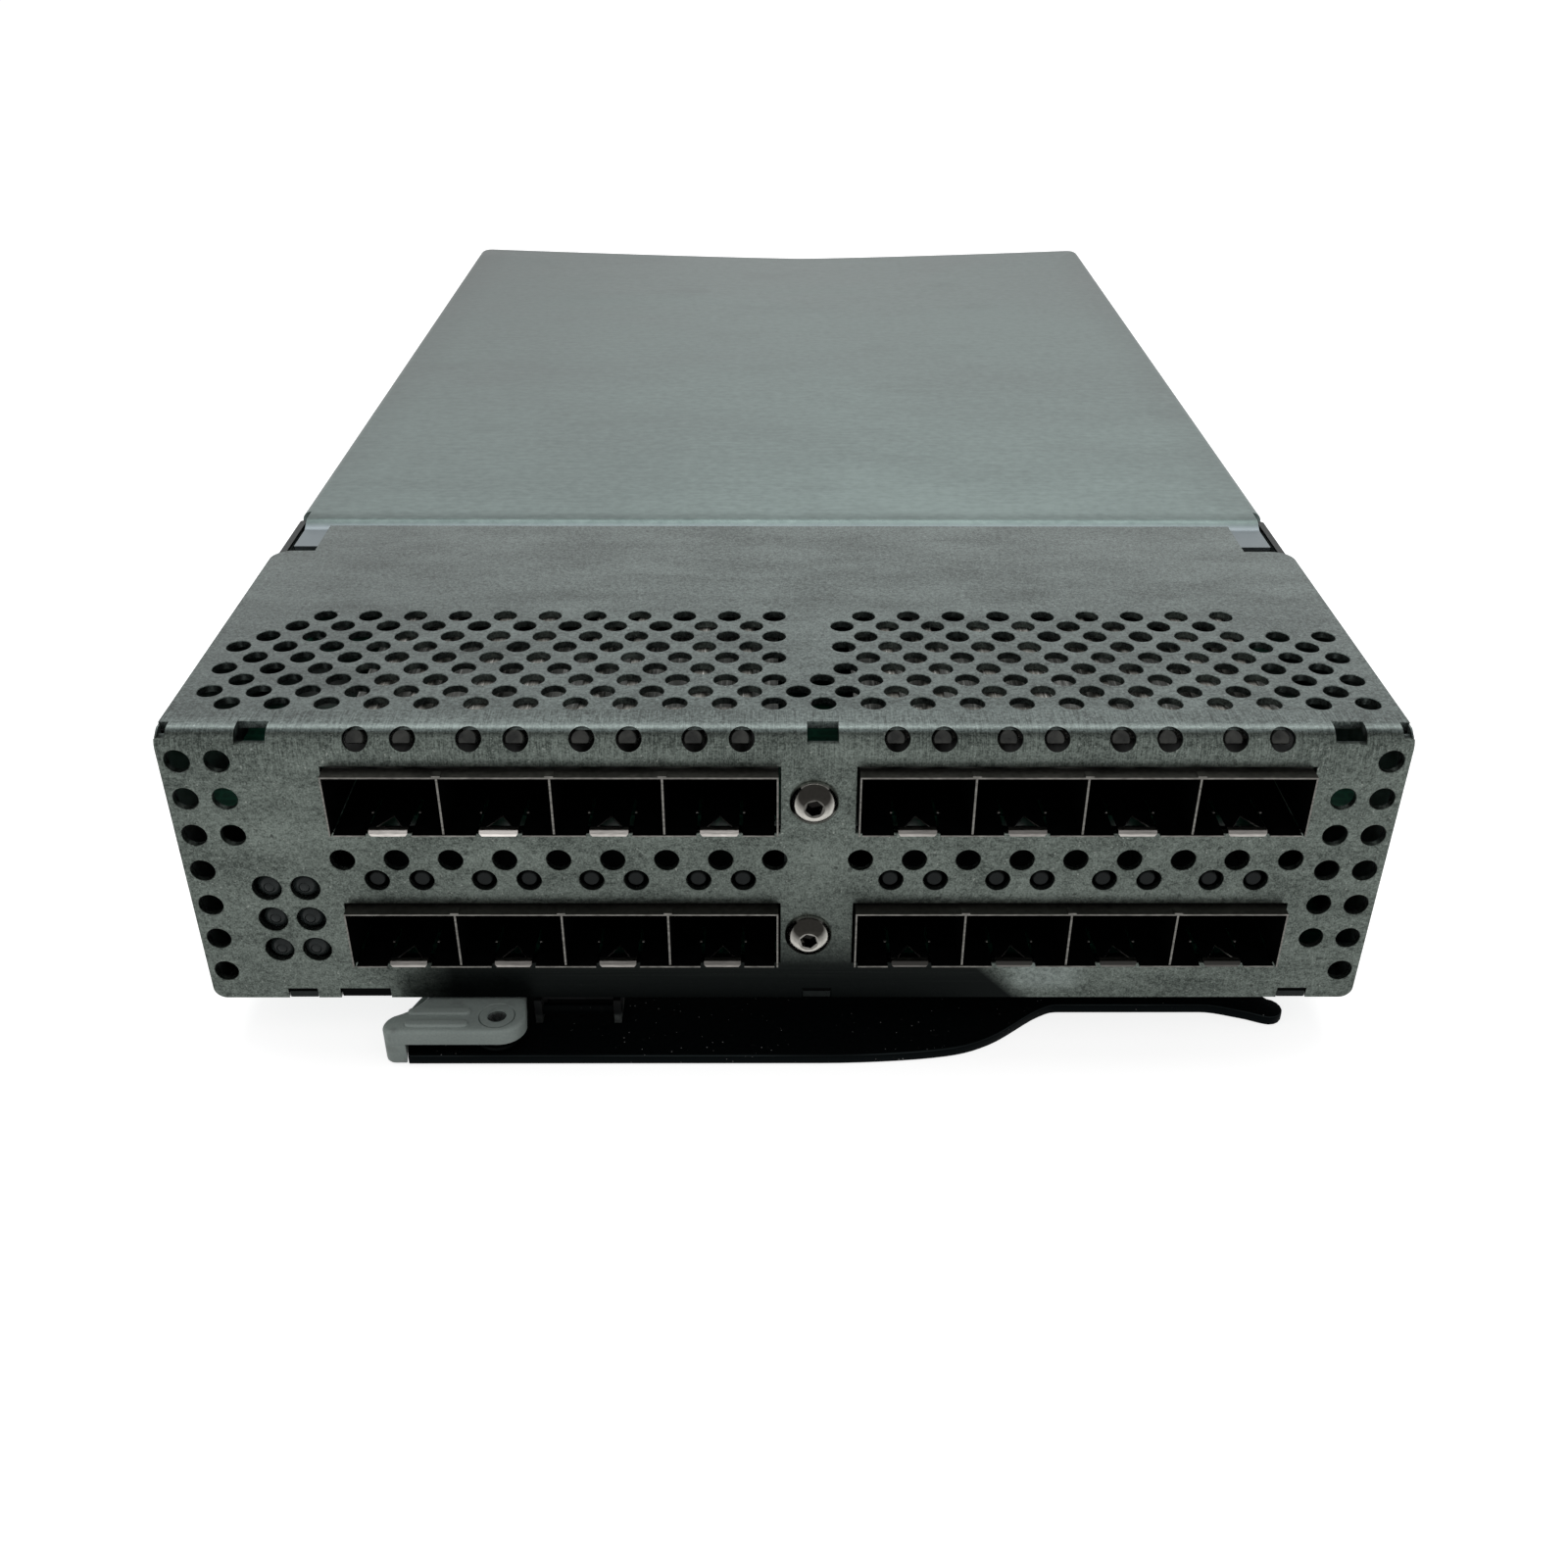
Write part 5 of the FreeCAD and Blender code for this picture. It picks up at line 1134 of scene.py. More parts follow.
def coverDip(x, y):
    share = max(0.0, (y - cover["dipStart"]) / (caseDepth - cover["dipStart"])) ** 2
    reach, middle = caseHalf - cover["edge"], cover["dipCentre"]
    run = abs(x - middle) / (reach - middle if x > middle else reach + middle)
    return cover["dipDepth"] * share * max(0.0, 1 - run ** 1.25)


def coverMesh():
    bm = bmesh.new()
    front, rear = cover["flangeStart"], caseDepth
    low = [(-caseHalf, front), (caseHalf, front), (caseHalf, rear), (-caseHalf, rear)]
    ringBox(bm, [[Vector((x, y, z)) for x, y in low] for z in (cover["foot"], caseTop)])

    def edgesWhere(test):
        return [e for e in bm.edges if all(test(v.co) for v in e.verts)]

    upright = [e for e in edgesWhere(lambda p: p.y > rear - 0.01)
               if abs(e.verts[0].co.x - e.verts[1].co.x) < 0.01]
    bmesh.ops.bevel(bm, geom=upright, offset=cover["corner"], segments=7, profile=0.5, affect="EDGES")
    rim = [e for e in edgesWhere(lambda p: p.z > caseTop - 0.01)
           if max(v.co.y for v in e.verts) > front + 0.01]
    bmesh.ops.bevel(bm, geom=rim, offset=cover["edge"], segments=5, profile=0.5, affect="EDGES")
    gone = [f for f in bm.faces if all(v.co.y < front + 0.01 for v in f.verts)
            or all(v.co.z < cover["foot"] + 0.01 for v in f.verts)]
    bmesh.ops.delete(bm, geom=gone, context="FACES")

    def sliceAt(point, normal):
        everything = bm.verts[:] + bm.edges[:] + bm.faces[:]
        bmesh.ops.bisect_plane(bm, geom=everything, plane_co=point, plane_no=normal, dist=0.0001)

    # rows of faces fine enough for the dent, and the foot of the rear wall's lip
    reach, across, along = caseHalf - cover["edge"], cover["acrossSteps"], cover["dipSteps"]
    for k in range(1, across):
        sliceAt((-reach + 2 * reach * k / across, 0, 0), (1, 0, 0))
    for k in range(along + 1):
        sliceAt((0, cover["dipStart"] + (rear - 2 - cover["dipStart"]) * k / along, 0), (0, 1, 0))
    lipFoot = caseTop - cover["lipDrop"]
    sliceAt((0, 0, lipFoot), (0, 0, 1))
    gone = [f for f in bm.faces if f.calc_center_median().y > rear - cover["corner"] - 0.01
            and f.calc_center_median().z < lipFoot]
    bmesh.ops.delete(bm, geom=gone, context="FACES")
    # the lip runs forward from the tray's open front edge
    bm.verts.ensure_lookup_table()
    row = sorted((v for v in bm.verts if v.co.y < front + 0.01 and v.co.z > caseTop - 0.06),
                 key=lambda v: v.co.x)
    steps = [(cover["joggleEnd"], 0.0)]
    run = cover["joggleEnd"] - cover["joggleStart"]
    for k in range(1, cover["joggleSteps"] + 1):
        t = k / cover["joggleSteps"]
        steps.append((cover["joggleEnd"] - run * t, cover["lipLow"] * t * t * (3 - 2 * t)))
    steps.append((cover["lipFront"], cover["lipLow"]))
    for y, drop in steps:
        fresh = [bm.verts.new((v.co.x, y, caseTop - drop)) for v in row]
        for a, b, c, d in zip(row, row[1:], fresh[1:], fresh):
            bm.faces.new((d, c, b, a))
        row = fresh
    for v in bm.verts:
        if v.co.z > lipFoot + 0.01:
            v.co.z -= coverDip(v.co.x, v.co.y)
    bmesh.ops.remove_doubles(bm, verts=bm.verts, dist=0.001)
    bmesh.ops.recalc_face_normals(bm, faces=bm.faces)
    top = max(bm.faces, key=lambda f: f.calc_area())
    if top.normal.z < 0:
        bmesh.ops.reverse_faces(bm, faces=bm.faces)
    for v in bm.verts:
        v.co = at(*v.co)
    mesh = bpy.data.meshes.new("rearCover")
    bm.to_mesh(mesh)
    bm.free()
    return mesh


def coverScrewSpots():
    return [(at(side * caseHalf, y, cover["screwZ"]), (0, side * math.radians(90), 0), plainSize)
            for side in leftRight for y in cover["screwRows"]]


def makeCover():
    piece = linked("coverSheet", coverMesh())
    thick = piece.modifiers.new("thickness", "SOLIDIFY")
    thick.thickness = shell["sheet"] * mm
    thick.offset = -1
    thick.use_even_offset = True
    bake(piece)

    def seat(bm):
        # countersunk seat of a side screw
        r = cover["screwSeat"]
        lathe(bm, [(1.7, -1.8), (1.7, -0.56), (r - 0.25, -0.55), (r, -0.35), (r, -0.1), (r + 0.5, 0.4)])

    mesh = piece.data.copy()
    bpy.data.objects.remove(piece)
    made = repeated("rearCover", seat, coverScrewSpots(), "card", "zinc_cover_sheet", 28,
                    ("rear_cover",), mesh, True)
    print("rear cover:", len(made.data.polygons), "faces")


makeCover()


# ganged port cages of thin sheet: roof, sides, dividers and a floor with latch tongues

cage = {"margin": 0.5, "wall": 0.22, "baseDepth": 34.0, "roofFrom": 1.2, "tongueWidth": 5.0,
        "tongueRise": 0.74, "tipBend": 0.45, "slit": 0.5, "slitLength": 9.0, "holeWidth": 3.4,
        "holeLength": 3.0, "holeBack": 1.1, "tabHalf": 0.55, "tabLength": 1.3, "tabRise": 0.18,
        "finger": (3.4, 6.4, 5.9, 6.5), "fingerReach": 0.5, "dimpleX": 3.1, "dimpleY": 3.6,
        "dimpleRadius": 0.26}
metalFace, edgeFace, insideFace, tipFace, roofFace = 0, 1, 2, 3, 4
cageFinishes = (("Sheet", "cage_nickel"), ("Cut edge", "cageEdge"), ("Inside", "cageInside"),
                ("Tongue tip", "tongueTip"), ("Roof", "cageRoof"))       # in the order of the face numbers


def paintedRings(bm, layer, rings, choose):
    # closed loft whose faces note their finish
    before = set(bm.faces)
    ringBox(bm, rings)
    for face in set(bm.faces) - before:
        face.normal_update()
        face[layer] = choose(face)


def sheetBox(bm, layer, x0, x1, y0, y1, z0, z1, sides=insideFace, top=insideFace, front=edgeFace):
    def choose(face):
        if face.normal.y < -0.9:
            return front
        return top if face.normal.z > 0.9 else sides

    corners = [[Vector((x, y, z)) for x, y in ((x0, y0), (x1, y0), (x1, y1), (x0, y1))] for z in (z0, z1)]
    paintedRings(bm, layer, corners, choose)


def floorSheet(bm, layer, portHalf):
    # one port's floor: slits beside the tongue, triangular latch hole, turned-down tip
    wall, front = cage["wall"], -ports["protrusion"]
    tongue, slit = cage["tongueWidth"] / 2, cage["slit"]
    back = front + cage["slitLength"]
    top = cage["margin"]
    low = top - wall
    for side in leftRight:
        x0, x1 = sorted((side * (tongue + slit), side * portHalf))
        sheetBox(bm, layer, x0, x1, front, back, low, top)
    sheetBox(bm, layer, -portHalf, portHalf, back, cage["baseDepth"], low, top, front=insideFace)
    y0 = front + cage["holeBack"]
    w, tip = cage["holeWidth"] / 2, front + cage["holeBack"] + cage["holeLength"]
    r = cage["tipBend"]
    bendY = front + r

    def lift(y):
        # the tongue slopes up to its tip and turns down there
        return cage["tongueRise"] * (back - y) / cage["slitLength"]

    def choose(face):
        if abs(face.normal.x) > 0.3 and abs(face.normal.y) > 0.3:
            return edgeFace      # rim of the latch hole
        return metalFace if face.calc_center_median().y < front + 1.2 else insideFace

    outlines = [
        [(-tongue, bendY), (tongue, bendY), (tongue, y0), (-tongue, y0)],
        [(-tongue, y0), (-w, y0), (0, tip), (0, back), (-tongue, back)],
        [(w, y0), (tongue, y0), (tongue, back), (0, back), (0, tip)],
    ]
    for outline in outlines:
        rings = [[Vector((x, y, h + lift(y))) for x, y in outline] for h in (low, top)]
        paintedRings(bm, layer, rings, choose)
    crest = top + lift(bendY)
    path = [(bendY - r * math.sin(t), crest - r + r * math.cos(t)) for t in quarter(6)]
    under = [(bendY - (r - wall) * math.sin(t), crest - r + (r - wall) * math.cos(t)) for t in quarter(6)]
    path += [(front, low + 0.5), (front, low + 0.08)]
    under += [(front + wall, low + 0.5), (front + wall, low + 0.08)]
    rows = []
    for (y, h), (v, g) in zip(path, under):
        half = tongue - (0.3 if h < low + 0.09 else 0)
        rows.append([Vector(p) for p in ((-half, y, h), (half, y, h), (half, v, g), (-half, v, g))])
    paintedRings(bm, layer, rows, lambda face: tipFace)


def springsAndDimples(bm, layer, portHalf):
    # earthing fingers sprung from the walls and two dimples behind the tongue
    y0, y1, z0, z1 = cage["finger"]
    middle = (y0 + y1) / 2
    r, floor = cage["dimpleRadius"], cage["margin"]
    for side in leftRight:
        wall = side * (portHalf - cage["wall"] * 0.6)
        tip = wall - side * cage["fingerReach"]
        root = [Vector((wall, y, z)) for y, z in ((y0, z0), (y1, z0), (y1, z1), (y0, z1))]
        end = [Vector((tip, y, z)) for y, z in ((middle - 0.4, z0 + 0.1), (middle + 0.4, z0 + 0.1),
                                                (middle + 0.4, z1 - 0.1), (middle - 0.4, z1 - 0.1))]
        paintedRings(bm, layer, [root, end], lambda face: edgeFace)
        x, y = side * cage["dimpleX"], cage["dimpleY"]
        levels = ((r, floor), (r * 0.8, floor + 0.14), (r * 0.3, floor + 0.2))
        paintedRings(bm, layer, [[Vector((x + q * math.cos(a), y + q * math.sin(a), z)) for a in around(6)]
                                 for q, z in levels], lambda face: edgeFace)


def cageShape(bm):
    # a whole cage in millimetres from its first port's edge and its underside, painted by face
    layer = bm.faces.layers.int.new("finish")
    margin, wall = cage["margin"], cage["wall"]
    height, front, rear = ports["height"], -ports["protrusion"], ports["depth"]
    roof, roofFrom = height - wall, cage["roofFrom"]
    x0, x1 = -margin, cageSpan + margin
    sheetBox(bm, layer, x0, x1, front, roofFrom, roof, height, top=metalFace)
    sheetBox(bm, layer, x0, x1, roofFrom, rear, roof, height, top=roofFace, front=insideFace)
    for x in (x0, x1 - wall):
        sheetBox(bm, layer, x, x + wall, front, rear, margin - wall, roof)
    sheetBox(bm, layer, x0, x1, rear - wall, rear, margin, roof, front=insideFace)
    for k in range(1, ports["count"]):
        x = ports["pitch"] * k
        sheetBox(bm, layer, x - wall * 0.6, x + wall * 0.6, front + 0.15, rear - wall, margin, roof)
        # divider's tab folded over the roof's edge
        sheetBox(bm, layer, x - cage["tabHalf"], x + cage["tabHalf"], front + 0.02, front + cage["tabLength"],
                 height, height + cage["tabRise"], sides=metalFace, top=metalFace)
    for k in range(ports["count"]):
        before = set(bm.verts)
        floorSheet(bm, layer, ports["pitch"] / 2)
        springsAndDimples(bm, layer, ports["pitch"] / 2)
        shift = Vector((ports["pitch"] * (k + 0.5), 0, 0))
        for v in set(bm.verts) - before:
            v.co += shift
    for v in bm.verts:
        v.co *= mm


def cageTree():
    t = Tree("gangedCage")
    unit = t.value("Cage", "Object")
    corner = t.value("Corner", "Vector", (0, 0, 0))
    materials = [t.value(name, "Material") for name, _ in cageFinishes]
    moved = t.node("GeometryNodeTransform", {}, {"Geometry": t.shapeOf(unit), "Translation": corner})
    solid = t.realized(moved)
    kind = t.attribute("finish", "INT")
    painted = t.node("GeometryNodeSetMaterial", {}, {"Geometry": solid, "Material": materials[metalFace]})
    for value in (edgeFace, insideFace, tipFace, roofFace):
        chosen = t.node("FunctionNodeCompare", {"data_type": "INT", "operation": "EQUAL"},
                        {2: kind, 3: value})
        painted = t.node("GeometryNodeSetMaterial", {},
                         {"Geometry": painted, "Selection": chosen, "Material": materials[value]})
    t.group.links.new(painted, t.sink.inputs["Geometry"])
    return t


def makeCages():
    unit = linked("cageUnit", meshFrom("cageUnit", cageShape))
    tree = cageTree()
    sheets = {name: finishes[key] for name, key in cageFinishes}
    for side, start in cageStarts:
        for row, z in cageRows:
            tail = "_" + row + "_" + side
            piece = linked("portCage" + tail, bpy.data.meshes.new("portCage"))
            tree.apply(piece, {"Cage": unit, "Corner": at(start, 0, z), **sheets})
            sharpAt(piece.data, 25)
            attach(piece, "card")
            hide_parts("cage_cover" + tail, "cage_base" + tail, "cage_dividers" + tail)
    bpy.data.objects.remove(unit)
    print("cages ready")


makeCages()


# light pipes: bevelled rods behind the fold, round ones between the cages, domed status lenses

pipes = {"width": 2.8, "front": 0.95, "rear": 52.0, "bevel": 0.16, "round": 0.7, "cut": 2.4, "tilt": 0.3,
         "cutLength": 9.0, "topGap": 0.25, "aside": -0.2, "plugRadius": 1.2, "plugFlat": 0.5, "plugSides": 28,
         "plugRise": 1.25, "roundFront": 0.6, "roundRadius": 1.05, "roundDrop": 0.12, "roundBevel": 0.12,
         "carrierY": 8.0, "carrierLength": 6.0}
lens = {"radius": 1.75, "reach": 1.1, "length": 3.0, "front": 0.25, "drop": 0.1, "eye": 0.6,
        "aside": (0.22, -0.26), "blockEdge": 1.2, "blockY": (3.2, 7.0)}


def rodRing(half, z, low, tilt=0.0):
    # a square with rounded corners, flat along its underside at low; tilt slopes it back as it rises
    points = []
    for cx, cy, a0 in ((1, 1, 0), (-1, 1, 1), (-1, -1, 2), (1, -1, 3)):
        for k in range(4):
            a = math.pi / 2 * (a0 + k / 3)
            up = cy * (half - pipes["round"]) + pipes["round"] * math.sin(a)
            rise = max(up, up * 0.02 + low)
            across = cx * (half - pipes["round"]) + pipes["round"] * math.cos(a)
            points.append(Vector((across, rise, z - tilt * (rise - low))) * mm)
    return points


def lightRod(bm):
    # rod along -Z (rearwards after the forward lean) with a sloped front and a flat underside behind it
    half, front, bevel, tilt = pipes["width"] / 2, -pipes["front"], pipes["bevel"], pipes["tilt"]
    foot, cutEnd = pipes["cut"] - half, -pipes["front"] - pipes["cutLength"]
    ringBox(bm, [rodRing(half, -pipes["rear"], -half), rodRing(half, cutEnd, -half),
                 rodRing(half, cutEnd + 0.4, foot), rodRing(half, front - bevel, foot, tilt),
                 rodRing(half - bevel * 0.35, front - bevel * 0.35, foot + bevel * 0.3, tilt),
                 rodRing(half - bevel, front, foot + bevel, tilt)])
    # the rod's end turns up into the punched hole, flat along its lower side
    lean, reach = math.radians(lights["lean"]), shell["foldRadius"]
    middle = Vector((0, half + pipes["plugRise"] - reach * (1 - math.sin(lean)),
                     -reach * (1 - math.cos(lean))))
    upward = Vector((0, math.cos(lean), -math.sin(lean)))
    outward = Vector((0, math.sin(lean), math.cos(lean)))

    def plugRing(radius, depth):
        return [(middle + Vector((radius * math.cos(a), 0, 0)) - outward * depth
                 + upward * max(radius * math.sin(a), -pipes["plugFlat"])) * mm
                for a in around(pipes["plugSides"])]

    full = pipes["plugRadius"]
    ringBox(bm, [plugRing(full, 2.0), plugRing(full, 0.6), plugRing(full - 0.12, 0.42)])


def roundRod(bm):
    radius, front, bevel = pipes["roundRadius"], -pipes["roundFront"], pipes["roundBevel"]
    lathe(bm, [(radius, -pipes["rear"]), (radius, front - bevel), (radius - bevel, front)], 24)


def lensDome(bm):
    # low dome with a small raised eye
    radius, reach, eye = lens["radius"], lens["reach"], lens["eye"]
    profile = [(radius, -lens["length"]), (radius, -reach)]
    profile += [(radius * math.cos(t), -reach + reach * math.sin(t)) for t in quarter(7)[1:6]]
    profile += [(eye + 0.22, -0.10), (eye + 0.12, -0.24), (eye, -0.06), (eye * 0.6, 0.02)]
    lathe(bm, profile, 24)


def makePipes():
    half = pipes["width"] / 2
    top = caseTop - shell["sheet"] - pipes["topGap"]
    kinds = (("upper", lightRod, "light_pipe", top - half, 1.0,
              (ports["upperZ"] + ports["height"], top - 2 * half)),
             ("lower", roundRod, "darkPipe", lights["lowerZ"] - pipes["roundDrop"], 0.5,
              (ports["lowerZ"] + ports["height"], lights["lowerZ"])))
    for side, start in cageStarts:
        places = lightPlaces(start)
        for row, rod, finish, z, shift, (low, high) in kinds:

            def carrier(bm):
                # block over the cage that holds the rods
                blockMesh(bm, places[0], places[-1], pipes["carrierY"],
                          pipes["carrierY"] + pipes["carrierLength"], low, high)

            tail = "_" + row + "_" + side
            spots = [(at(x + pipes["aside"] * shift, 0, z), forwardLean, plainSize) for x in places]
            repeated("lightPipes" + tail, rod, spots, "card", finish, 30,
                     ("light_pipes" + tail,), meshFrom("carrier", carrier))

    def statusBlock(bm):
        edge, (y0, y1) = status["radius"] + lens["blockEdge"], lens["blockY"]
        blockMesh(bm, status["x"] - edge, status["x"] + status["pitch"] + edge, y0, y1,
                  status["z"] - edge, status["z"] + 2 * status["pitch"] + edge)

    left, right = lens["aside"]
    spots = [(at(x + (left if x < status["x"] + 1 else right), lens["front"], z - lens["drop"]), forwardLean,
              plainSize) for x, z in statusPlaces()]
    repeated("statusLenses", lensDome, spots, "card", "statusLens", 40, ("status_light_pipes",),
             meshFrom("statusBlock", statusBlock))
    print("light pipes ready")


makePipes()


# screws

flatScrew = {"radius": 2.8, "height": 0.5, "shank": 1.45, "length": 4.0, "socket": 2.2, "socketDepth": 0.42}
headSides = 48


def hexagon(flats, z):
    # a hexagon of as many points as a head has, by its distance to the flats
    points = []
    for a in around(headSides):
        radius = flats / math.cos((a + math.pi / 6) % (math.pi / 3) - math.pi / 6)
        points.append(Vector((radius * math.cos(a), radius * math.sin(a), z)) * mm)
    return points


def buttonHead(bm):
    # domed head with a hex socket, on a shank
    r, h = panelScrews["radius"], panelScrews["height"]
    flats, rimTop, span = panelScrews["socket"] / 2, 0.28, math.pi * 0.36
    rings = [circle(radius, z, headSides)
             for radius, z in ((1.45, -6.5), (1.45, -0.01), (r - 0.08, 0), (r, 0.1), (r, rimTop))]
    for k in range(1, 9):
        t = k / 8
        rise = rimTop + (h - rimTop) * math.sin(t * span) / math.sin(span)
        rings.append(circle(r * (1 - 0.52 * t ** 1.6), rise, headSides))
    rings += [hexagon(flats * 1.12, h), hexagon(flats, h - 0.1),
              hexagon(flats * 0.98, h - panelScrews["socketDepth"])]
    ringBox(bm, rings)


def flatHead(bm):
    # flush head along +Z with a shallow hex socket
    r, shank = flatScrew["radius"], flatScrew["shank"]
    flats, low = flatScrew["socket"] / 2, -flatScrew["height"]
    levels = ((shank, -flatScrew["length"]), (shank, low), (r - 0.25, low), (r, low + 0.2), (r, -0.12),
              (r - 0.12, 0.0))
    rings = [circle(radius, z, headSides) for radius, z in levels]
    rings += [hexagon(flats * 1.08, 0.0), hexagon(flats, -0.08),
              hexagon(flats * 0.97, -flatScrew["socketDepth"])]
    ringBox(bm, rings)


def makeScrews():
    repeated("coverScrews", flatHead, coverScrewSpots(), "card", "screw_steel", 30,
             ("cover_screws",))
    spots = []
    for z, turn, aside in zip(panelScrews["z"], panelScrews["turn"], panelScrews["aside"]):
        lean = (Matrix.Rotation(math.pi / 2, 3, "X") @ Matrix.Rotation(turn, 3, "Z")).to_euler()
        spots.append((at(panelScrews["x"] + aside, 0, z), tuple(lean), plainSize))
    repeated("panelScrews", buttonHead, spots, "card", "stainless", 35, ("panel_screws",))
    print("screws ready")


makeScrews()


# lever: flat plate with softened edges; grip: moulded latch on its end

gripPivot = (-39.8, -3.3)
gripEnd = {"radius": 12.6, "rise": 5.5, "gap": 0.15}


def arcThrough(a, b, c, steps):
    # points of the arc from a through b to c
    ax, ay = a
    bx, by = b
    cx, cy = c
    d = 2 * (ax * (by - cy) + bx * (cy - ay) + cx * (ay - by))
    a2, b2, c2 = ax * ax + ay * ay, bx * bx + by * by, cx * cx + cy * cy
    ux = (a2 * (by - cy) + b2 * (cy - ay) + c2 * (ay - by)) / d
    uy = (a2 * (cx - bx) + b2 * (ax - cx) + c2 * (bx - ax)) / d
    r = math.hypot(ax - ux, ay - uy)
    t0, t1, t2 = [math.atan2(y - uy, x - ux) for x, y in (a, b, c)]
    full = 2 * math.pi
    clockwise = (t1 - t0) % full > (t2 - t0) % full
    sweep = -((t0 - t2) % full) if clockwise else (t2 - t0) % full
    return [(ux + r * math.cos(t0 + sweep * k / steps), uy + r * math.sin(t0 + sweep * k / steps))
            for k in range(steps + 1)]


def smoothThrough(points, firstRun, lastRun, steps=6):
    # Hermite curve through points with given end directions
    tangents = [Vector(firstRun)]
    for k in range(1, len(points) - 1):
        tangents.append((Vector(points[k + 1]) - Vector(points[k - 1])) / 2)
    tangents.append(Vector(lastRun))
    out = []
    for k in range(len(points) - 1):
        a, b = Vector(points[k]), Vector(points[k + 1])
        ta, tb = tangents[k], tangents[k + 1]
        for s in range(steps):
            t = s / steps
            p = (2 * t ** 3 - 3 * t * t + 1) * a + (t ** 3 - 2 * t * t + t) * ta
            p += (3 * t * t - 2 * t ** 3) * b + (t ** 3 - t * t) * tb
            out.append(tuple(p))
    return out + [points[-1]]


def leverOutline():
    gx, gy = gripPivot
    reach = math.sqrt(gripEnd["radius"] ** 2 - (lever["front"] - gy) ** 2)
    rise = gripEnd["rise"]
    leftRear = (gx - math.sqrt(gripEnd["radius"] ** 2 - rise ** 2), gy + rise)
    px, py = lever["pivot"]
    boss = lever["boss"]
    turn = boss * math.sqrt(0.5)
    path = [(gx - reach, lever["front"]), (-40.0, lever["front"])]
    path += smoothThrough([(lever["handleEnd"], lever["front"])] + list(lever["curve"])
                          + [(lever["curveEnd"], lever["step"])], (16, 0), (8, 0))
    path += smoothThrough(list(lever["tail"]), (6, 0), (4, -0.6))
    path += arcThrough(*lever["tip"], 8)[1:]
    path += arcThrough((px + boss, py), (px + turn, py + turn), (px, py + boss), 12)
    path += list(lever["rear"])
    path += arcThrough(leftRear, (gx - gripEnd["radius"], gy), (gx - reach, lever["front"]), 16)[:-1]
    return path


def plateMesh(bm, outline, low, top, rounding, steps=3, bothSides=True):
    # plate with softened rims: rings pushed inward along the outline's own normals
    count = len(outline)
    area = sum(outline[i][0] * outline[(i + 1) % count][1] - outline[(i + 1) % count][0] * outline[i][1]
               for i in range(count))
    sign = 1 if area > 0 else -1

    def inset(distance):
        out = []
        for i in range(count):
            a, b, c = [Vector(outline[(i + k) % count]) for k in (-1, 0, 1)]
            u, v = (b - a).normalized(), (c - b).normalized()
            n1, n2 = Vector((-u.y, u.x)) * sign, Vector((-v.y, v.x)) * sign
            n = n1 + n2
            scale = distance / max(0.35, 1 + n1.dot(n2)) if n.length else 0
            out.append(b + n * scale)
        return out

    levels = []
    turns = [math.pi / 2 * k / steps for k in range(steps + 1)]
    if bothSides:
        levels += [(rounding * (1 - math.sin(t)), low + rounding * (1 - math.cos(t))) for t in turns]
    else:
        levels.append((0, low))
    levels += [(rounding * (1 - math.cos(t)), top - rounding * (1 - math.sin(t))) for t in turns]
    ringBox(bm, [[at(p.x, p.y, z) for p in inset(d)] for d, z in levels])


def makeLever():
    mesh = meshFrom("leverPlate",
                    lambda bm: plateMesh(bm, leverOutline(), lever["low"], lever["top"], lever["round"]))
    mesh.materials.append(finishes["lever_black"])
    piece = linked("leverPlate", mesh)
    sharpAt(mesh, 40)
    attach(piece, "lever_arm")
    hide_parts("lever")


grip = {"top": -0.5, "thickness": 2.3, "left": -55.2, "right": -35.8, "corner": 3.5, "leftCorner": 1.4,
        "rear": 8.8, "rearX": -49.4, "shoulder": ((-50.0, 1.3), (-51.5, -1.3), (-53.6, -2.9), (-54.8, -3.9)),
        "notch": ((-36.6, 2.4), (-38.2, 5.6)), "hook": (-36.4, 6.6), "slope": 1.4, "rim": 0.55,
        "legRim": 0.6, "ridgeRows": (-2.6, -5.1), "ridgeEnds": (-52.2, -43.5), "ridgeWidth": 1.5,
        "ridgeRise": 0.4, "ridgeRim": 0.34, "collar": 2.4, "collarDrop": 0.84, "bore": 2.05, "rimSteps": 4}


def gripOutline():
    front, left, right = lever["front"], grip["left"], grip["right"]
    corner, leftCorner = grip["corner"], grip["leftCorner"]
    a, b, c, d = grip["shoulder"]
    turn = 1 - math.sqrt(0.5)
    leftStart, leftEnd = (left, front + leftCorner), (left + leftCorner, front)
    rightStart, rightEnd = (right - corner, front), (right, front + corner)
    path = [(grip["rearX"], grip["rear"])]
    path += arcThrough(a, b, c, 8)
    path += arcThrough(c, d, leftStart, 6)[1:]
    path += arcThrough(leftStart, (left + leftCorner * turn, front + leftCorner * turn), leftEnd, 6)[1:]
    path += arcThrough(rightStart, (right - corner * turn, front + corner * turn), rightEnd, 10)
    path += list(grip["notch"]) + [grip["hook"], (grip["hook"][0] - grip["slope"], grip["rear"])]
    return path


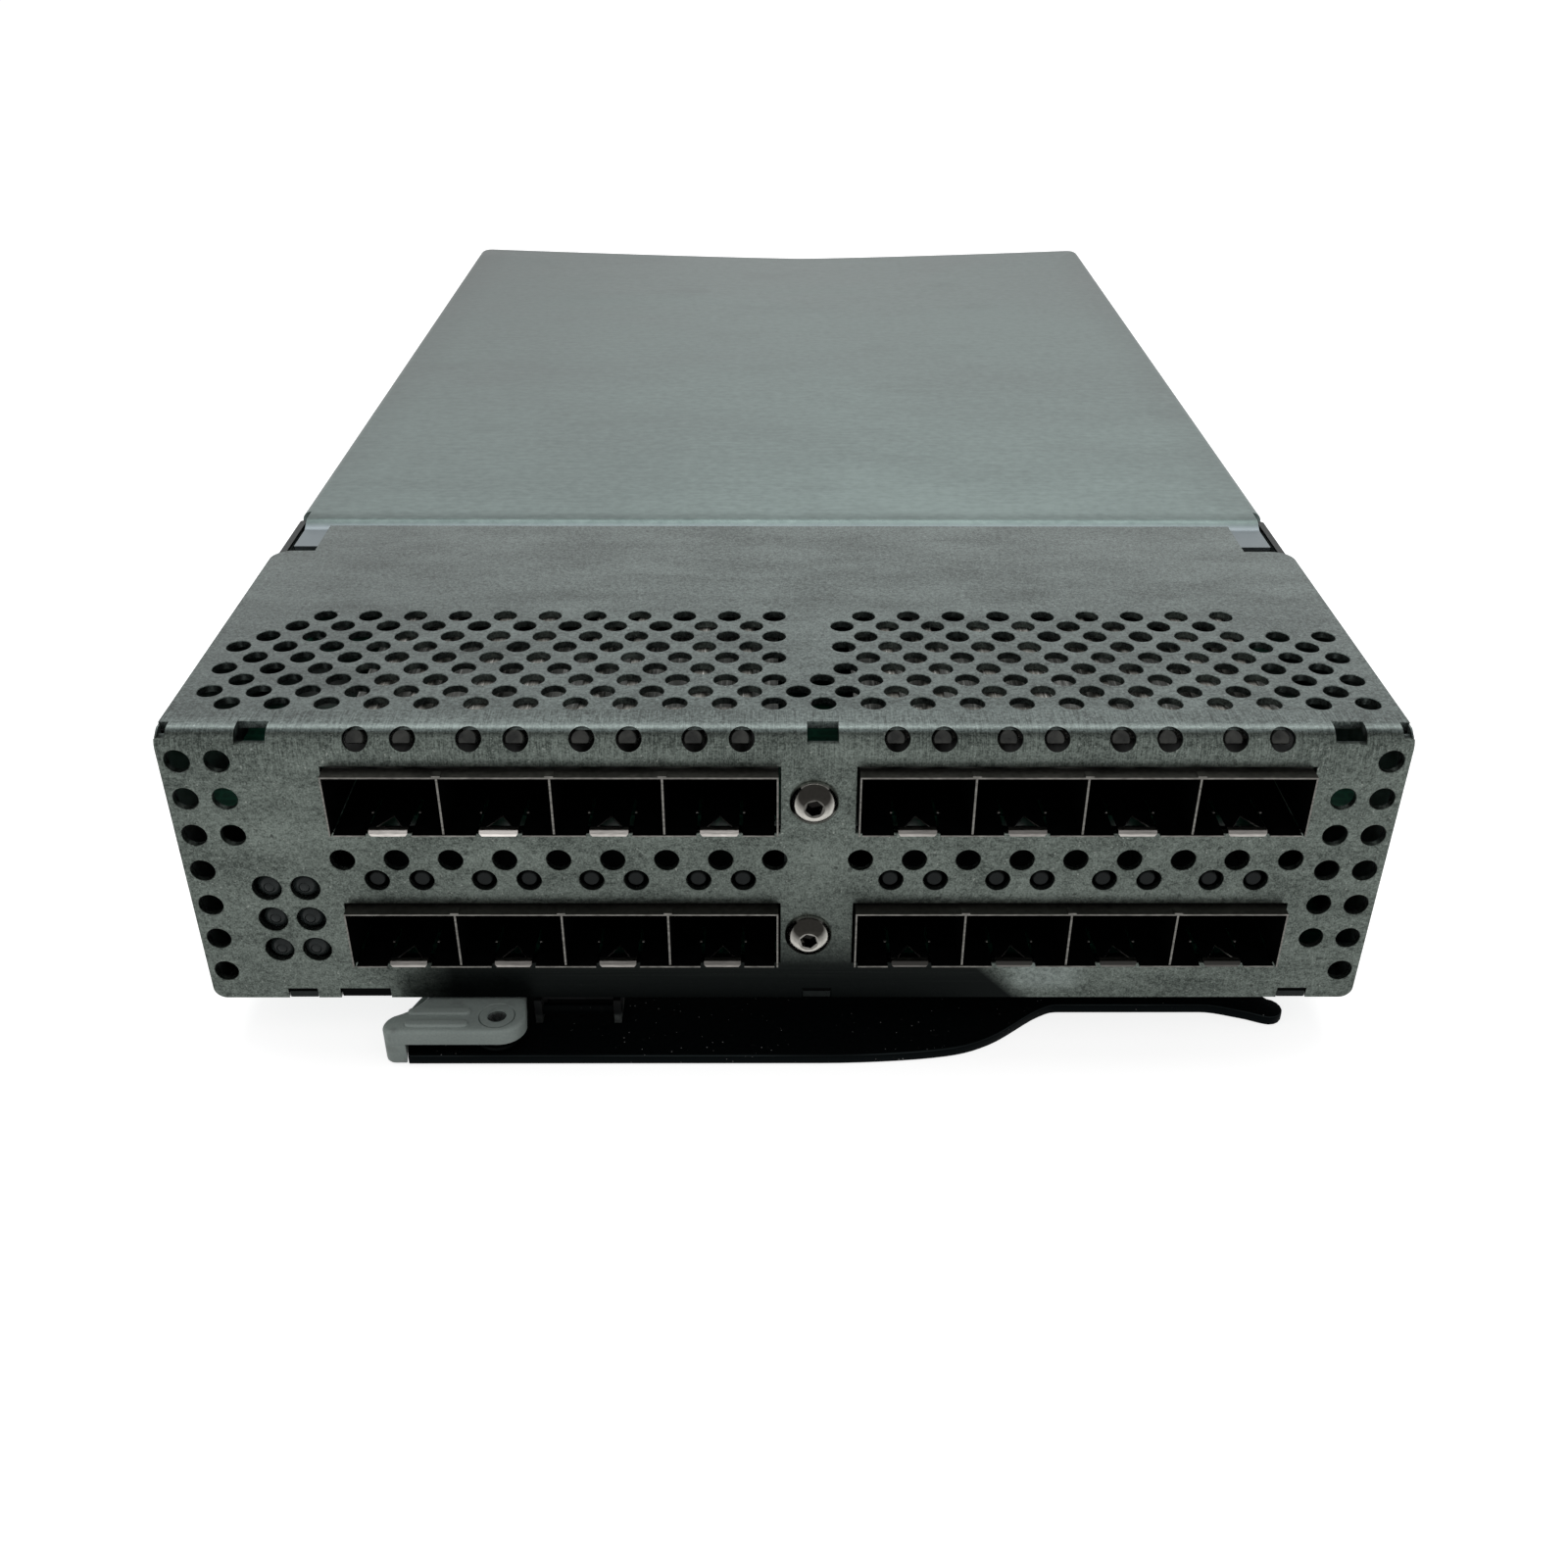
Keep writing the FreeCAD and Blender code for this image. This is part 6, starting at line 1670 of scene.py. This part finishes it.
def gripMesh(bm):
    low, steps = grip["top"] - grip["thickness"], grip["rimSteps"]
    outline = gripOutline()
    plateMesh(bm, outline, low, grip["top"], grip["rim"], steps, False)
    # leg round the plate's end
    gx, gy = gripPivot
    room = gripEnd["radius"] + gripEnd["gap"]
    outer = [p for p in outline if math.hypot(p[0] - gx, p[1] - gy) > room and p[0] < gx - 8]
    rearAngle = math.atan2(outer[0][1] - gy, outer[0][0] - gx) % (2 * math.pi)
    frontAngle = math.pi + math.asin((gy - lever["front"]) / room)
    inner = [(gx + room * math.cos(a), gy + room * math.sin(a))
             for a in [frontAngle + (rearAngle - frontAngle) * k / 8 for k in range(9)]]
    plateMesh(bm, outer + inner, lever["low"], low + 0.3, grip["legRim"], steps)
    # finger ridges with round ends
    r = grip["ridgeWidth"] / 2
    x0, x1 = grip["ridgeEnds"]
    for y in grip["ridgeRows"]:
        shape = []
        for middle, start in ((x1 - r, -math.pi / 2), (x0 + r, math.pi / 2)):
            shape += [(middle + r * math.cos(a), y + r * math.sin(a))
                      for a in [start + math.pi * k / 10 for k in range(11)]]
        plateMesh(bm, shape, grip["top"] - 0.3, grip["top"] + grip["ridgeRise"], grip["ridgeRim"], steps,
                  False)


def makeGrip():
    # the bore and its counterbore are taken out of the joined mouldings
    body = linked("gripBody", meshFrom("gripBody", gripMesh))
    gx, gy = gripPivot

    def bore(bm):
        wide, drop = grip["collar"], grip["collarDrop"]
        lathe(bm, [(grip["bore"], -4.0), (grip["bore"], -drop - 0.01), (wide + 0.08, -drop),
                   (wide + 0.08, -0.12), (wide + 0.35, 0.15), (wide + 0.35, 1.0)], 36)

    t = Tree("gripUnion")
    material = t.value("Finish", "Material")
    merged = t.node("GeometryNodeMeshBoolean", {"operation": "UNION", "solver": "EXACT"},
                    {"Mesh 2": [t.geometry], "Self Intersection": True})
    t.finish(merged, material)
    t.apply(body, {"Finish": finishes["grip_grey"]})
    base = body.data.copy()
    bpy.data.objects.remove(body)
    spots = [(at(gx, gy, grip["top"]), unturned, plainSize)]
    repeated("gripMoulding", bore, spots, "latch", "grip_grey", 32, ("grip",), base, True)


makeLever()
makeGrip()
print("lever and grip ready")
